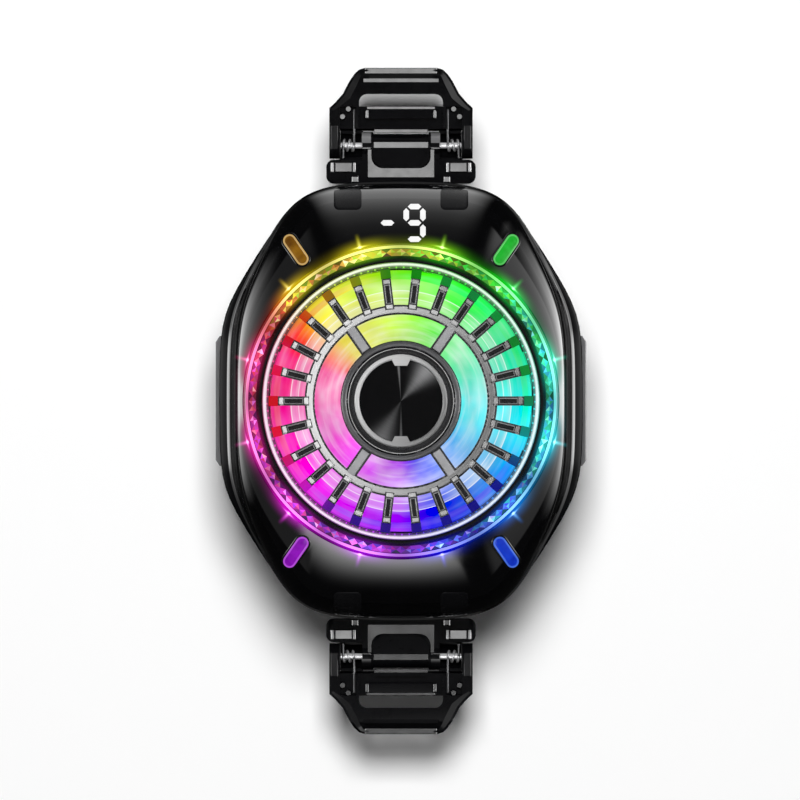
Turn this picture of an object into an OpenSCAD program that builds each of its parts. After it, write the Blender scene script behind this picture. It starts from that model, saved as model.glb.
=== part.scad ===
// Clip-on phone cooler: a lit front fan blows through a heatsink whose cold plate lies on the phone's back,
// and two sprung jaws, one at each end, swing round to hook the phone's long edges.
// The cold face lies on z = 0, the fan faces +Z, and the jaws lie along Y.

/* [Case] */
// Land of the front cover between its opening and its side edges
side_land = 0.9; // [0.6:0.1:3]
// Land of the front cover between its opening and its diagonal edges
diag_land = 4.5; // [3.5:0.1:6]
// Land of the front cover between its opening and its ends
end_land = 9.8; // [9:0.1:13]
// Land of the case between the opening and the cut across the end corners
corner_land = 11.6; // [10.5:0.1:14]
// Width of the boards between the cold plate and the sides of the case
board_w = 4.95; // [4:0.05:6]
// How far the rear case stands out past the front cover at the diagonals
diag_step = 2.4; // [1.2:0.1:3.5]
// Sharpness of the rounded outline: higher is sharper
outline_power = 24; // [16:2:40]
// Wall of the moulded shells
wall = 1.6; // [1.2:0.1:2.2]
// Floor of the rear housing
floor_t = 1.6; // [1.2:0.1:2.4]
// Height of the rear housing's wall
rear_h = 8.6; // [7.8:0.1:9]
// Rise of the rounded edge round the back
back_round = 3; // [1.5:0.1:3.2]
// Rise of the rounded shoulder on the middle frame
shoulder_h = 1.1; // [0.5:0.1:1.6]
// Least upright edge of the front cover at the seam
edge_h = 0.8; // [0.5:0.1:2]

/* [Cooling stack] */
// How far the cold face stands proud of the back
plate_proud = 0.8; // [0.5:0.1:1.5]
// Width and length of the cold face
plate_w = 36; // [32:0.5:40]
// Flange of the cold plate inside the housing
flange_t = 1.2; // [0.8:0.1:2]
// Width of the flange beyond the cold face
flange_w = 3.4; // [2.6:0.1:3.6]
// Thickness of the thermoelectric module
peltier_t = 3.4; // [2.8:0.1:4.5]
// Inset of the thermoelectric module from the edge of the cold face
peltier_inset = 3; // [2.6:0.1:5]
// Base of the heatsink
sink_base_t = 1.8; // [1.4:0.1:3]
// Height of the heatsink's fins
fin_h = 4.8; // [4:0.1:8]
// Thickness of a fin
fin_t = 0.6; // [0.4:0.1:1]
// Number of fins
fin_count = 17; // [11:1:19]
// Thickness of the silicone pad on the back
pad_t = 0.55; // [0.3:0.05:0.75]

/* [Fan] */
// Radius of the impeller over its blade tips
impeller_r = 21.2; // [19:0.1:24]
// Gap between the blade tips and the shroud
tip_gap = 0.4; // [0.3:0.05:0.8]
// Depth of the fan
fan_h = 8; // [7.6:0.1:11]
// Radius of the impeller's hub
hub_r = 9; // [8.6:0.1:10]
// Number of blades
blade_count = 13; // [9:1:15]
// Thickness of a blade
blade_t = 0.7; // [0.5:0.1:1]
// Slope of the blades
blade_pitch = 32; // [25:1:40]
// Radius of the rotor's shaft
shaft_r = 0.75; // [0.6:0.05:1]

/* [Grille and lights] */
// Thickness of the fan grille
grille_t = 1.3; // [1:0.1:2]
// Number of spokes
spoke_count = 26; // [20:2:30]
// Width of a spoke
spoke_w = 1.5; // [1:0.1:2]
// Inner radius of the ring that the spokes grow from
inner_ring_r = 14; // [12.5:0.1:15]
// Width of that ring
inner_ring_w = 1.6; // [1.2:0.1:2.2]
// Radius of the grille's hub plate
hub_plate_r = 9.8; // [9.4:0.1:11]
// Width of the four thick bars
bar_w = 2; // [1.4:0.1:2.6]
// Radius of the bare disc in the middle
disc_r = 6.7; // [5.5:0.1:7]
// Width of the silver ring round the disc
bezel_w = 0.85; // [0.6:0.05:1]
// Width of the bright ring round the fan
chrome_w = 0.7; // [0.5:0.05:1]
// Width of the dark channel outside it
channel_w = 1; // [0.7:0.05:1.4]
// Width of the light ring
light_w = 2; // [1.7:0.1:3]
// Rise of the front cover's rim above the fan
rim_rise = 2.4; // [2.2:0.1:3.5]
// Number of light-emitting chips under the light ring
chip_count = 24; // [12:4:32]
// Length of a corner lens
lens_l = 5.7; // [4:0.1:6.4]
// Width of a corner lens
lens_w = 2.1; // [1.6:0.1:2.6]
// Height of the display's digit
digit_h = 6.2; // [4.5:0.1:7]
// Width of the display's digit
digit_w = 3.6; // [3:0.1:4.5]
// Thickness of a display segment
segment_t = 0.9; // [0.6:0.05:1.1]

/* [Clips] */
// Reach of the hinge beyond the end of the case
hinge_reach = 6.4; // [5.6:0.1:8]
// Radius of a hinge pin
pin_r = 0.5; // [0.4:0.05:0.9]
// Height of the hinge above the cold face
pin_z = 2.9; // [2.7:0.1:3.4]
// Half width of a jaw
jaw_half = 11.7; // [11:0.1:13]
// Length of a jaw from the hinge to its tip
jaw_l = 12.7; // [11.5:0.1:16]
// Thickness of a jaw's plate
jaw_t = 2; // [1.6:0.1:2.4]
// Thickness of the lip that hooks the phone
lip_t = 1.7; // [1.4:0.1:2.4]
// Depth of that lip below the plate
lip_depth = 2.7; // [2:0.1:2.8]
// Thickness of a jaw's ear on the pin
ear_t = 1.7; // [1.2:0.1:2]
// Half width of the arm's knuckles
knuckle_half = 6.3; // [5.5:0.1:6.6]
// Half width of the arm's cross block
block_half = 12.2; // [11.5:0.1:13]
// Wire of a torsion spring
wire_d = 0.4; // [0.3:0.05:0.45]
// Least rise of a torsion spring in one turn
spring_rise = 0.84; // [0.8:0.01:0.95]

/* [Key and port] */
// Length of the side key and of the port's surround
key_l = 21.2; // [16:0.2:23]
// Height of the side key and of the port's surround
key_h = 4.6; // [4.2:0.1:5]
// How far they stand out from the case
key_proud = 0.65; // [0.6:0.05:1]
// Travel of the key
key_travel = 0.5; // [0.3:0.05:0.5]
// Width of the power socket
socket_w = 8.94; // [8.5:0.02:9.4]
// Height of the power socket
socket_h = 3.26; // [3:0.02:3.4]

/* [Hidden] */

$fn = 64;
// Points round a moulded shell
around = 96;
// Small overlap that joins shapes, and small gap of a slip fit
join = 0.1;
slip = 0.05;
// Gap round a piece that drops into a hole
drop_gap = 0.15;
// Gap round a piece that moves
move_gap = 0.3;
// Fit of a pin, screw or ring that is pressed into its hole
press_gap = 0.02;

// Heights in the stack
z_back = plate_proud;
z_floor = z_back + floor_t;
z_rear = z_back + rear_h;
z_cold = z_floor + flange_t;
z_sink = z_cold + peltier_t;
z_fins = z_sink + sink_base_t;
z_fan = z_fins + fin_h;
z_fan_top = z_fan + fan_h;
z_rim = z_fan_top + rim_rise;
z_seam = z_fan + 0.6;

// Radii round the fan
shroud_r = impeller_r + tip_gap;
bright_r = shroud_r + 0.2;
channel_r = bright_r + chrome_w;
light_r = channel_r + channel_w;
opening_r = light_r + light_w + slip;

// Half measures of the outline, with the boards beside the cold plate, and where its slanted edges face
side_half = opening_r + side_land;
diag_half = opening_r + diag_land;
end_half = opening_r + end_land;
corner_half = opening_r + corner_land;
board_gap = 0.8;
least_step = 0.8;
case_side = max(side_half + least_step, plate_w / 2 + flange_w + 2 * board_gap + board_w + wall);
corner_angle = 61;
cover_diag_angle = 24.6;
case_diag_angle = 31.7;

// Pull of one straight edge of the outline in a direction
function edge_pull(a, faces, reach) =
    pow((cos(faces) * abs(cos(a)) + sin(faces) * abs(sin(a))) / reach, outline_power);

// Radius of a rounded eight-sided outline in a direction
function outline_r(a, diag_angle, diag, side) = pow(
    edge_pull(a, 90, end_half) + edge_pull(a, corner_angle, corner_half)
    + edge_pull(a, diag_angle, diag) + edge_pull(a, 0, side), -1 / outline_power);

// Outline of the rear case, of the front cover's upper edge, and of the cover at its seam
function case_r(a) = outline_r(a, case_diag_angle, diag_half + diag_step, case_side);
function cover_r(a) = outline_r(a, cover_diag_angle, diag_half, side_half);
function seam_r(a) = (case_r(a) + cover_r(a)) / 2;

// Drop of the cover's domed top at its edge, and its height at a point
dome_inset = 1.5;
function edge_drop(a) = (z_rim - z_seam - edge_h) * min(1, (cover_r(a) - opening_r) / end_land);
function dome_z(x, y) =
    let (a = atan2(y, x), inner = opening_r - dome_inset, out = (norm([x, y]) - inner) / (cover_r(a) - inner))
    z_rim - edge_drop(a) * (1 - sqrt(1 - pow(max(0, min(1, out)), 2)));

// Top of a round boss that stays inside the domed top all round its edge
function boss_top(x, y, r) = let (out = 1 + r / norm([x, y])) dome_z(x * out, y * out) - wall / 4;

// One closed ring of points, from a radius and a height for each direction
function direction(i) = 360 * i / around;
function ring(radii, heights) =
    [for (i = [0:around - 1]) [radii[i] * cos(direction(i)), radii[i] * sin(direction(i)), heights[i]]];
function every(value) = [for (i = [0:around - 1]) value];
function case_radii(inset) = [for (i = [0:around - 1]) case_r(direction(i)) - inset];
function seam_radii(inset) = [for (i = [0:around - 1]) seam_r(direction(i)) - inset];

// Ring on the domed top: step 0 lies inside the opening, step 90 on the cover's edge
function dome_ring(step, t) = ring(
    [for (i = [0:around - 1]) let (inner = opening_r - dome_inset)
        inner + (cover_r(direction(i)) - t - inner) * sin(step)],
    [for (i = [0:around - 1]) let (drop = min(edge_drop(direction(i)), z_rim - t - z_seam - edge_h / 2))
        z_rim - t - drop * (1 - cos(step))]);

// Two triangles between neighbouring points of two rings
function strip(a, b, n) = [for (i = [0:n - 1]) let (k = (i + 1) % n)
    each [[a * n + i, b * n + k, a * n + k], [a * n + i, b * n + i, b * n + k]]];

// Solid through rings of points, closed on itself like a tyre
module hoop_loft(rings) {
    n = len(rings[0]);
    m = len(rings);
    polyhedron([for (r = rings) each r], [for (j = [0:m - 1]) each strip(j, (j + 1) % m, n)], convexity = 8);
}

// Solid through rings of points, closed with a flat face at both ends
module capped_loft(rings) {
    n = len(rings[0]);
    m = len(rings);
    first = [for (i = [0:n - 1]) i];
    last = [for (i = [n - 1:-1:0]) (m - 1) * n + i];
    polyhedron([for (r = rings) each r],
        concat([first], [for (j = [0:m - 2]) each strip(j, j + 1, n)], [last]), convexity = 8);
}

// Plate with round corners, standing on a height
module round_plate(w, l, t, r, z) {
    translate([0, 0, z]) {
        translate([-w / 2, r - l / 2, 0]) cube([w, l - 2 * r, t]);
        translate([r - w / 2, -l / 2, 0]) cube([w - 2 * r, l, t]);
        for (sx = [-1, 1], sy = [-1, 1])
            translate([sx * (w / 2 - r), sy * (l / 2 - r), 0]) cylinder(r = r, h = t);
    }
}

// Flat ring between two radii and two heights
module band(r_in, r_out, z0, z1) {
    rotate_extrude() translate([r_in, z0]) square([r_out - r_in, z1 - z0]);
}

// Corner rounding of the cold face, its flange, the back pad and the heatsink
face_round = 3;
flange_round = 4;
pad_round = 5;
sink_round = 2;

// Copies at four mirrored corners
module corners(x, y) {
    for (sx = [-1, 1], sy = [-1, 1]) translate([sx * x, sy * y, 0]) children();
}

// Copies turned evenly round the fan's axis
module turned(n, start = 0) {
    for (k = [0:n - 1]) rotate(start + 360 * k / n) children();
}

// Rod between two heights
module rod(r, z0, z1) {
    translate([0, 0, z0]) cylinder(r = r, h = z1 - z0);
}

// Case screws: place, head and shank, and the bosses that take them
case_screw_x = 11.5;
case_screw_y = opening_r + 3.3;
case_head_r = 1.8;
case_head_t = 1.2;
case_shank_r = 0.9;
case_boss_r = 2.6;
z_boss_meet = z_rear + 2.6;
z_case_tip = z_boss_meet + 4;

// Corner lenses: place and the gap round them
lens_angle = 55.2;
lens_at_r = opening_r + 4.3;
lens_foot = 1.2;

// Display: the middle of the sign and of the digit, and the gap between segments
digit_x = 2.2;
sign_x = -2.2;
digit_y = opening_r + digit_h / 2 + 0.2;
segment_gap = 0.25;
display_t = 1;
z_display = z_seam + 2.2;
display_post_x = 7.5;
display_post_r = 1.2;
display_half = display_post_x + display_post_r;

// Boards: the power socket's middle sets the height of the side key and port
board_t = 1;
board_rise = 1.4;
z_board = z_floor + board_rise;
key_z = z_board + board_t + socket_h / 2;
wall_in = case_side - wall;
board_out = wall_in - board_gap;
board_in = board_out - board_w;
board_post_r = 1;
control_half = 12;
key_board_half = 6;
key_out = case_side + key_proud;
key_flange_t = 0.6;
key_flange = 0.5;
key_end_angle = atan2(key_l / 2 + key_flange, wall_in);
key_wall_in = (case_r(key_end_angle) - wall) * cos(key_end_angle);

// Arms and jaws: the hinge's place and what turns round it
hinge_y = end_half + hinge_reach;
ear_r = 2.15;
ear_gap = 0.15;
knuckle_r = 2.2;
barrel_r = 1.9;
barrel_half = 4.6;
sweep_z = pin_z - barrel_r + move_gap;
arm_half = 7;
arm_t = 2.2;
arm_in = plate_w / 2 + flange_w + 1;
block_gap = 0.2;
block_h = 4.4;
block_z = 0.6;
block_round = 1.2;
foot_h = 0.5;
foot_l = 1.5;
foot_in = arm_half + 0.4;
foot_out = block_half - 0.7;
block_out = ear_r + 0.2;
trough_r = block_out + join;
trough_t = 0.5;
jaw_near = trough_r + move_gap;
arm_screw_x = 4;
arm_screw_y = arm_in + 4.5;
arm_head_r = 1.5;
arm_head_t = 0.9;
arm_shank_r = 0.75;
plate_low = pin_z + 0.1;
lip_in = jaw_l - lip_t;
ear_in = jaw_half - ear_t;
spring_gap_pin = 0.2;
spring_gap_knuckle = 1.15;
spring_gap_ear = 0.35;
spring_r = pin_r + spring_gap_pin + wire_d / 2;
spring_start = knuckle_half + spring_gap_knuckle + wire_d / 2;
spring_end = ear_in - spring_gap_ear - wire_d / 2;
spring_turns = max(1, floor((spring_end - spring_start) / spring_rise));
spring_pitch = (spring_end - spring_start) / spring_turns;

module front_cover() {
    inner = [for (k = [0:6]) dome_ring(90 * k / 6, wall)];
    outer = [for (k = [8:-1:0]) dome_ring(90 * k / 8, 0)];
    color("black") difference() {
        union() {
            hoop_loft(concat(inner,
                [ring(seam_radii(wall), every(z_seam)), ring(seam_radii(0), every(z_seam))], outer));
            corners(case_screw_x, case_screw_y)
                rod(case_boss_r - 0.2, z_boss_meet, boss_top(case_screw_x, case_screw_y, case_boss_r));
            for (s = [-1, 1]) translate([s * display_post_x, digit_y, 0])
                rod(display_post_r, z_display + display_t, boss_top(display_post_x, digit_y, display_post_r));
        }
        rod(opening_r, z_floor, z_rim + 1);
        corners(case_screw_x, case_screw_y) rod(case_shank_r + slip, z_floor, z_case_tip + 0.3);
        for (q = [[1, 1], [-1, 1], [-1, -1], [1, -1]]) lens_prism(q, drop_gap, z_seam, z_rim + 1);
        segment_prisms(slip, z_display, z_rim + 1);
    }
}

module mid_frame() {
    ledge = [for (i = [0:around - 1]) let (a = direction(i)) case_r(a) - seam_r(a)];
    shoulder = [for (k = [0:4]) ring(
        [for (i = [0:around - 1]) case_r(direction(i)) - ledge[i] * (1 - cos(22.5 * k))],
        every(z_seam - shoulder_h * (1 - sin(22.5 * k))))];
    color("#141416") difference() {
        hoop_loft(concat([ring(seam_radii(wall), every(z_seam)), ring(seam_radii(wall), every(z_rear)),
            ring(case_radii(0), every(z_rear))], shoulder));
        for (sx = [0, 1], sy = [0, 1]) mirror([sx, 0, 0]) mirror([0, sy, 0]) vents();
    }
}

// Slots through one diagonal wall of the middle frame
vent_count = 7;
vent_pitch = 2.4;
vent_w = 1.4;
vent_low = 0.7;
module vents() {
    rotate(case_diag_angle) for (k = [0:vent_count - 1])
        translate([diag_half - 3 * wall, (k - (vent_count - 1) / 2) * vent_pitch + 0.5, z_rear + vent_low])
            cube([7 * wall, vent_w, z_seam - shoulder_h - z_rear - 2 * vent_low]);
}

module rear_housing() {
    back = [for (k = [0:5]) ring(case_radii((back_round - join) * (1 - sin(18 * k))),
        every(z_back + back_round * (1 - cos(18 * k))))];
    plate_hole = plate_w + 2 * drop_gap;
    color("#0c0c0e") difference() {
        union() {
            difference() {
                capped_loft(concat(back, [ring(case_radii(0), every(z_rear))]));
                translate([0, 0, z_floor]) linear_extrude(rear_h) polygon(
                    [for (i = [0:around - 1]) let (a = direction(i)) (case_r(a) - wall) * [cos(a), sin(a)]]);
            }
            corners(case_screw_x, case_screw_y) rod(case_boss_r, z_floor - join, z_boss_meet);
            corners(board_in + 1.6, key_board_half - 1.5) rod(board_post_r, z_floor - join, z_board);
        }
        round_plate(plate_hole, plate_hole, floor_t + 2, face_round, z_back - 1);
        corners(case_screw_x, case_screw_y) {
            rod(case_head_r + drop_gap, z_back - 1, z_back + 0.1 + case_head_t);
            rod(case_shank_r + drop_gap, z_back, z_boss_meet + 1);
        }
        corners(arm_screw_x, arm_screw_y) rod(arm_shank_r + slip, z_back + 0.4, z_floor + 1);
        for (s = [-1, 1]) {
            translate([s * (wall_in + wall / 2), 0, key_z])
                cube([3 * wall, key_l + 2 * drop_gap, key_h + 2 * drop_gap], center = true);
            translate([-arm_half - drop_gap, s > 0 ? end_half - 4 * wall : -end_half - wall, z_floor])
                cube([2 * (arm_half + drop_gap), 5 * wall, arm_t + drop_gap]);
        }
    }
}

// Screws with a round head, standing head down or head up
module case_screws() {
    color("dimgray") corners(case_screw_x, case_screw_y) difference() {
        union() {
            rod(case_head_r, z_back + 0.1, z_back + 0.1 + case_head_t);
            rod(case_shank_r, z_back + case_head_t, z_case_tip);
        }
        translate([0, 0, z_back]) cross_slot(case_head_r, 0.6);
    }
}

// Cross recess for a driver
module cross_slot(r, depth) {
    for (a = [0, 90]) rotate(a) translate([-0.7 * r, -0.2, -join]) cube([1.4 * r, 0.4, depth + join]);
}

module back_pad() {
    outer = plate_w + 2 * flange_w;
    inner = plate_w + 2 * drop_gap;
    color("#1c1c1c") difference() {
        round_plate(outer, outer, pad_t, pad_round, z_back - pad_t);
        round_plate(inner, inner, pad_t + 2, face_round, z_back - pad_t - 1);
    }
}

// Light ring: a channel over the chips, with a bright outer rim and a band that slopes down inside it
skirt_t = 0.5;
rim_w = 0.65;
rim_proud = 0.3;
slope_fall = 0.6;
chip_h = 0.7;
chip_clear = 0.3;
led_l = 1.4;
led_w = 1.6;
led_drop = 3.4;
z_led = z_fan_top - led_drop;
z_light = z_led + board_t + chip_h + chip_clear;
module light_ring() {
    inner = light_r + 2 * slip;
    outer = light_r + light_w;
    color("#f0e8ff") rotate_extrude() polygon([[outer - skirt_t, z_led], [outer, z_led],
        [outer, z_rim + rim_proud], [outer - rim_w, z_rim + rim_proud], [outer - rim_w, z_rim],
        [inner, z_rim - slope_fall], [inner, z_light], [outer - skirt_t, z_light]]);
}

module channel_ring() {
    color("#101014") rotate_extrude() polygon([[channel_r, z_fan_top], [light_r, z_fan_top],
        [light_r, z_rim - 0.3], [light_r - 0.15, z_rim - 0.3],
        [light_r - 0.3, z_rim - 1.2], [channel_r, z_rim - 1.2]]);
}

hoop_t = 0.6;
module bright_ring() {
    z0 = z_fan_top + hoop_t;
    color("silver") rotate_extrude() polygon([[bright_r, z0], [channel_r - slip, z0],
        [channel_r - slip, z_rim - 0.25], [channel_r - 0.2, z_rim],
        [bright_r + 0.2, z_rim], [bright_r, z_rim - 0.25]]);
}

module led_board() {
    color("darkgreen") band(shroud_r + 1, light_r + light_w - skirt_t - drop_gap, z_led, z_led + board_t);
}

module led_chips() {
    color("white") turned(chip_count) translate([light_r - 0.1, -led_w / 2, z_led + board_t])
        cube([led_l, led_w, chip_h]);
}

// Upright prism of a lens with round ends, pointing at the middle, in the quarter given by two signs
module lens_prism(q, gap, z0, z1) {
    straight = (lens_l - lens_w) / 2;
    rotate(atan2(q[1] * sin(lens_angle), q[0] * cos(lens_angle))) translate([lens_at_r, 0, 0]) {
        translate([-straight, -lens_w / 2 - gap, z0]) cube([2 * straight, lens_w + 2 * gap, z1 - z0]);
        for (s = [-1, 1]) translate([s * straight, 0, 0]) rod(lens_w / 2 + gap, z0, z1);
    }
}

// Everything under the cover's domed top
module dome_solid(sink) {
    levels = [for (k = [0:8]) [for (p = dome_ring(90 * k / 8, 0)) p - [0, 0, sink]]];
    base = [for (p = levels[8]) [p[0], p[1], z_floor]];
    capped_loft(concat([base], [for (k = [8:-1:0]) levels[k]]));
}

module corner_lens(q, tint) {
    low = dome_z(lens_at_r * cos(lens_angle), lens_at_r * sin(lens_angle)) - wall - lens_foot;
    color(tint) intersection() {
        lens_prism(q, 0, low, z_rim + 1);
        dome_solid(0.1);
    }
}

module amber_lens() { corner_lens([-1, 1], "orange"); }
module green_lens() { corner_lens([1, 1], "limegreen"); }
module violet_lens() { corner_lens([-1, -1], "purple"); }
module blue_lens() { corner_lens([1, -1], "royalblue"); }

// Upright prism of one display segment with pointed ends
module segment(l, gap, z0, z1) {
    half = segment_t / 2 + gap;
    translate([0, 0, z0]) linear_extrude(z1 - z0) polygon([[-l / 2 - gap, 0], [half - l / 2 - gap, half],
        [l / 2 + gap - half, half], [l / 2 + gap, 0],
        [l / 2 + gap - half, -half], [half - l / 2 - gap, -half]]);
}

// A minus sign and the digit nine
module segment_prisms(gap, z0, z1) {
    across = digit_w - segment_t - 2 * segment_gap;
    rise = (digit_h - segment_t) / 2;
    upright = rise - 2 * segment_gap;
    side = (digit_w - segment_t) / 2;
    translate([sign_x, digit_y, 0]) segment(across, gap, z0, z1);
    for (level = [-1, 0, 1]) translate([digit_x, digit_y + level * rise, 0]) segment(across, gap, z0, z1);
    for (place = [[-1, 1], [1, 1], [1, -1]])
        translate([digit_x + place[0] * side, digit_y + place[1] * rise / 2, 0]) rotate(90)
            segment(upright, gap, z0, z1);
}

module display_segments() {
    color("white") intersection() {
        segment_prisms(0, z_display + display_t, z_rim + 1);
        dome_solid(0.1);
    }
}

module display_board() {
    color("darkgreen") translate([-display_half, opening_r + 0.3, z_display])
        cube([2 * display_half, digit_h, display_t]);
}

// Fan grille: hub plate, four thick bars, inner ring, spokes with raised studs, and the hoop that it hangs in
pad_rise = 0.2;
hub_rise = 0.7;
hub_sink = 0.4;
trim_w = 0.5;
hub_groove_r = disc_r + bezel_w + 0.5;
module fan_grille() {
    z1 = z_fan_top + grille_t;
    hoop_in = shroud_r - 0.2;
    ring_out = inner_ring_r + inner_ring_w;
    stud_r = (ring_out + hoop_in) / 2 + 0.5;
    groove_out = hub_groove_r + trim_w + slip;
    color("#2a2a2e") {
        rotate_extrude() polygon([[0, z_fan_top], [hub_plate_r, z_fan_top],
            [hub_plate_r, z1 + hub_rise - 0.25], [hub_plate_r - 0.25, z1 + hub_rise],
            [groove_out, z1 + hub_rise], [groove_out, z1 - hub_sink], [0, z1 - hub_sink]]);
        for (a = [lens_angle, 180 - lens_angle, 180 + lens_angle, -lens_angle]) rotate(a)
            translate([hub_plate_r - 0.5, -bar_w / 2, z_fan_top])
                cube([inner_ring_r - hub_plate_r + 1, bar_w, grille_t]);
        band(inner_ring_r, ring_out, z_fan_top, z1);
        band(hoop_in, channel_r - slip, z_fan_top, z_fan_top + hoop_t);
        turned(spoke_count) {
            translate([ring_out - 0.5, -spoke_w / 2, z_fan_top])
                cube([hoop_in - ring_out + 0.7, spoke_w, grille_t]);
            translate([ring_out - 0.7, -spoke_w / 2, z1 - join]) cube([0.8, spoke_w, pad_rise + join]);
            translate([stud_r, -spoke_w / 2, z1 - join]) cube([0.8, spoke_w, pad_rise + join]);
        }
    }
}

// Thin bright ring in the hub's groove
module hub_trim() {
    z1 = z_fan_top + grille_t;
    color("silver") band(hub_groove_r, hub_groove_r + trim_w, z1 - hub_sink, z1 + hub_rise);
}

// Silver ring round the bare disc, with a tab at the top and the bottom that points to the middle
tab_w = 3.4;
tab_l = 1;
module hub_bezel() {
    z0 = z_fan_top + grille_t - hub_sink;
    z1 = z_fan_top + grille_t + hub_rise + 0.2;
    outer = disc_r + bezel_w;
    color("silver") difference() {
        union() {
            rotate_extrude() polygon([[disc_r + slip, z0], [outer, z0], [outer, z1 - 0.2], [outer - 0.2, z1],
                [disc_r + 0.25, z1], [disc_r + slip, z1 - 0.2]]);
            for (s = [-1, 1]) translate([0, s * disc_r, z1 - 0.5]) linear_extrude(0.5)
                polygon([[-tab_w / 2, s * 0.4], [tab_w / 2, s * 0.4],
                    [tab_w / 2 - 0.7, -s * tab_l], [0.7 - tab_w / 2, -s * tab_l]]);
        }
        for (s = [0, 1]) mirror([0, s, 0]) translate([-tab_w, outer - 0.1, z1 - 1]) cube([2 * tab_w, 2, 2]);
    }
}

module hub_disc() {
    z0 = z_fan_top + grille_t - hub_sink;
    color("#08080a") rod(disc_r, z0, z_fan_top + grille_t + hub_rise - 0.35);
}

// Fan frame: shroud, flange for the chips' board, motor base on struts, bearing tube and screw lugs
shroud_t = 0.8;
strut_count = 4;
strut_w = 2.2;
base_t = 1.2;
tube_in = 1.95;
tube_out = 2.7;
tube_h = 5.2;
lug_r = 2.4;
lug_t = 1.4;
fan_screw_at = (shroud_r + lug_r + 0.2) * sqrt(0.5);
fan_shank_r = 0.8;
module fan_frame() {
    outer = shroud_r + shroud_t;
    flange = light_r + light_w - drop_gap;
    color("#18181b") difference() {
        union() {
            rotate_extrude() polygon([[shroud_r, z_fan], [outer, z_fan], [outer, z_led - 1.2],
                [flange, z_led - 1.2], [flange, z_led], [outer, z_led], [outer, z_fan_top - 1],
                [light_r, z_fan_top - 1], [light_r, z_fan_top], [shroud_r, z_fan_top]]);
            rod(hub_r + 0.4, z_fan, z_fan + base_t);
            rod(tube_out, z_fan, z_fan + tube_h);
            turned(strut_count, 45) translate([hub_r, -strut_w / 2, z_fan])
                cube([shroud_r - hub_r + 0.4, strut_w, base_t]);
            corners(fan_screw_at, fan_screw_at) rod(lug_r, z_fan, z_fan + lug_t);
        }
        rod(tube_in, z_fan + base_t, z_fan + tube_h + 1);
        corners(fan_screw_at, fan_screw_at) rod(fan_shank_r + slip, z_fan - 1, z_fan + lug_t + 1);
    }
}

// Rotor: cup with sloping blades, magnet ring and shaft
cup_t = 0.9;
cup_top = z_fan_top - tip_gap;
cup_low = z_fan + base_t + tip_gap;
cup_boss_r = 2;
blade_low = z_fan + base_t + 0.8;
blade_high = cup_top - tip_gap;
z_bearing = z_fan + base_t;
bearing_h = tube_h - base_t;
module impeller() {
    blade_mid = (blade_low + blade_high) / 2;
    chord = 2 * (blade_high - blade_low) / sin(blade_pitch);
    color("#e8e8f4") {
        difference() {
            union() {
                rod(hub_r, cup_low, cup_top);
                intersection() {
                    band(hub_r - cup_t, impeller_r, blade_low, blade_high);
                    turned(blade_count) translate([0, 0, blade_mid]) rotate([blade_pitch, 0, 0])
                        translate([hub_r - 0.5, -chord / 2, -blade_t / 2]) cube([impeller_r, chord, blade_t]);
                }
            }
            difference() {
                rod(hub_r - cup_t, cup_low - 1, cup_top - 1);
                rod(cup_boss_r, z_bearing + bearing_h + move_gap, cup_top);
            }
            rod(shaft_r + press_gap, z_fan, cup_top - 0.3);
        }
    }
}

magnet_t = 1;
module rotor_magnet() {
    outer = hub_r - cup_t - press_gap;
    color("#3a3a40") band(outer - magnet_t, outer, cup_low + 0.3, cup_top - 1);
}

module rotor_shaft() {
    color("silver") rod(shaft_r, z_bearing + 0.2, cup_top - 0.3);
}

module shaft_bearing() {
    color("goldenrod") difference() {
        rod(tube_in - press_gap, z_bearing, z_bearing + bearing_h);
        rod(shaft_r + slip, z_bearing - 1, z_bearing + bearing_h + 1);
    }
}

// Stator: six poles on the bearing tube, each with a coil
pole_count = 6;
pole_w = 1.4;
z_pole = z_fan + base_t + 1;
pole_h = 2.2;
pole_out = hub_r - cup_t - magnet_t - 0.6;
coil_in = tube_out + 0.95;
coil_l = pole_out - coil_in - 0.6;
module stator_core() {
    color("#8a8a8a") difference() {
        union() {
            rod(tube_out + 0.7, z_pole, z_pole + pole_h);
            intersection() {
                turned(pole_count) {
                    translate([tube_out, -pole_w / 2, z_pole]) cube([pole_out, pole_w, pole_h]);
                    translate([pole_out - 0.5, -1.2 * pole_w, z_pole]) cube([1, 2.4 * pole_w, pole_h]);
                }
                rod(pole_out, z_pole, z_pole + pole_h);
            }
        }
        rod(tube_out + press_gap, z_pole - 1, z_pole + pole_h + 1);
    }
}

module stator_coils() {
    turn_t = 0.35;
    color("#b8622c") turned(pole_count) difference() {
        translate([coil_in, -pole_w / 2 - turn_t, z_pole - turn_t])
            cube([coil_l, pole_w + 2 * turn_t, pole_h + 2 * turn_t]);
        translate([0, -pole_w / 2, z_pole]) cube([2 * pole_out, pole_w, pole_h]);
    }
}

fan_head_t = 0.9;
fan_head_r = 1.4;
module fan_screws() {
    color("dimgray") corners(fan_screw_at, fan_screw_at) {
        rod(fan_head_r, z_fan + lug_t, z_fan + lug_t + fan_head_t);
        rod(fan_shank_r, z_fins + 0.6, z_fan + lug_t + join);
    }
}

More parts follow.
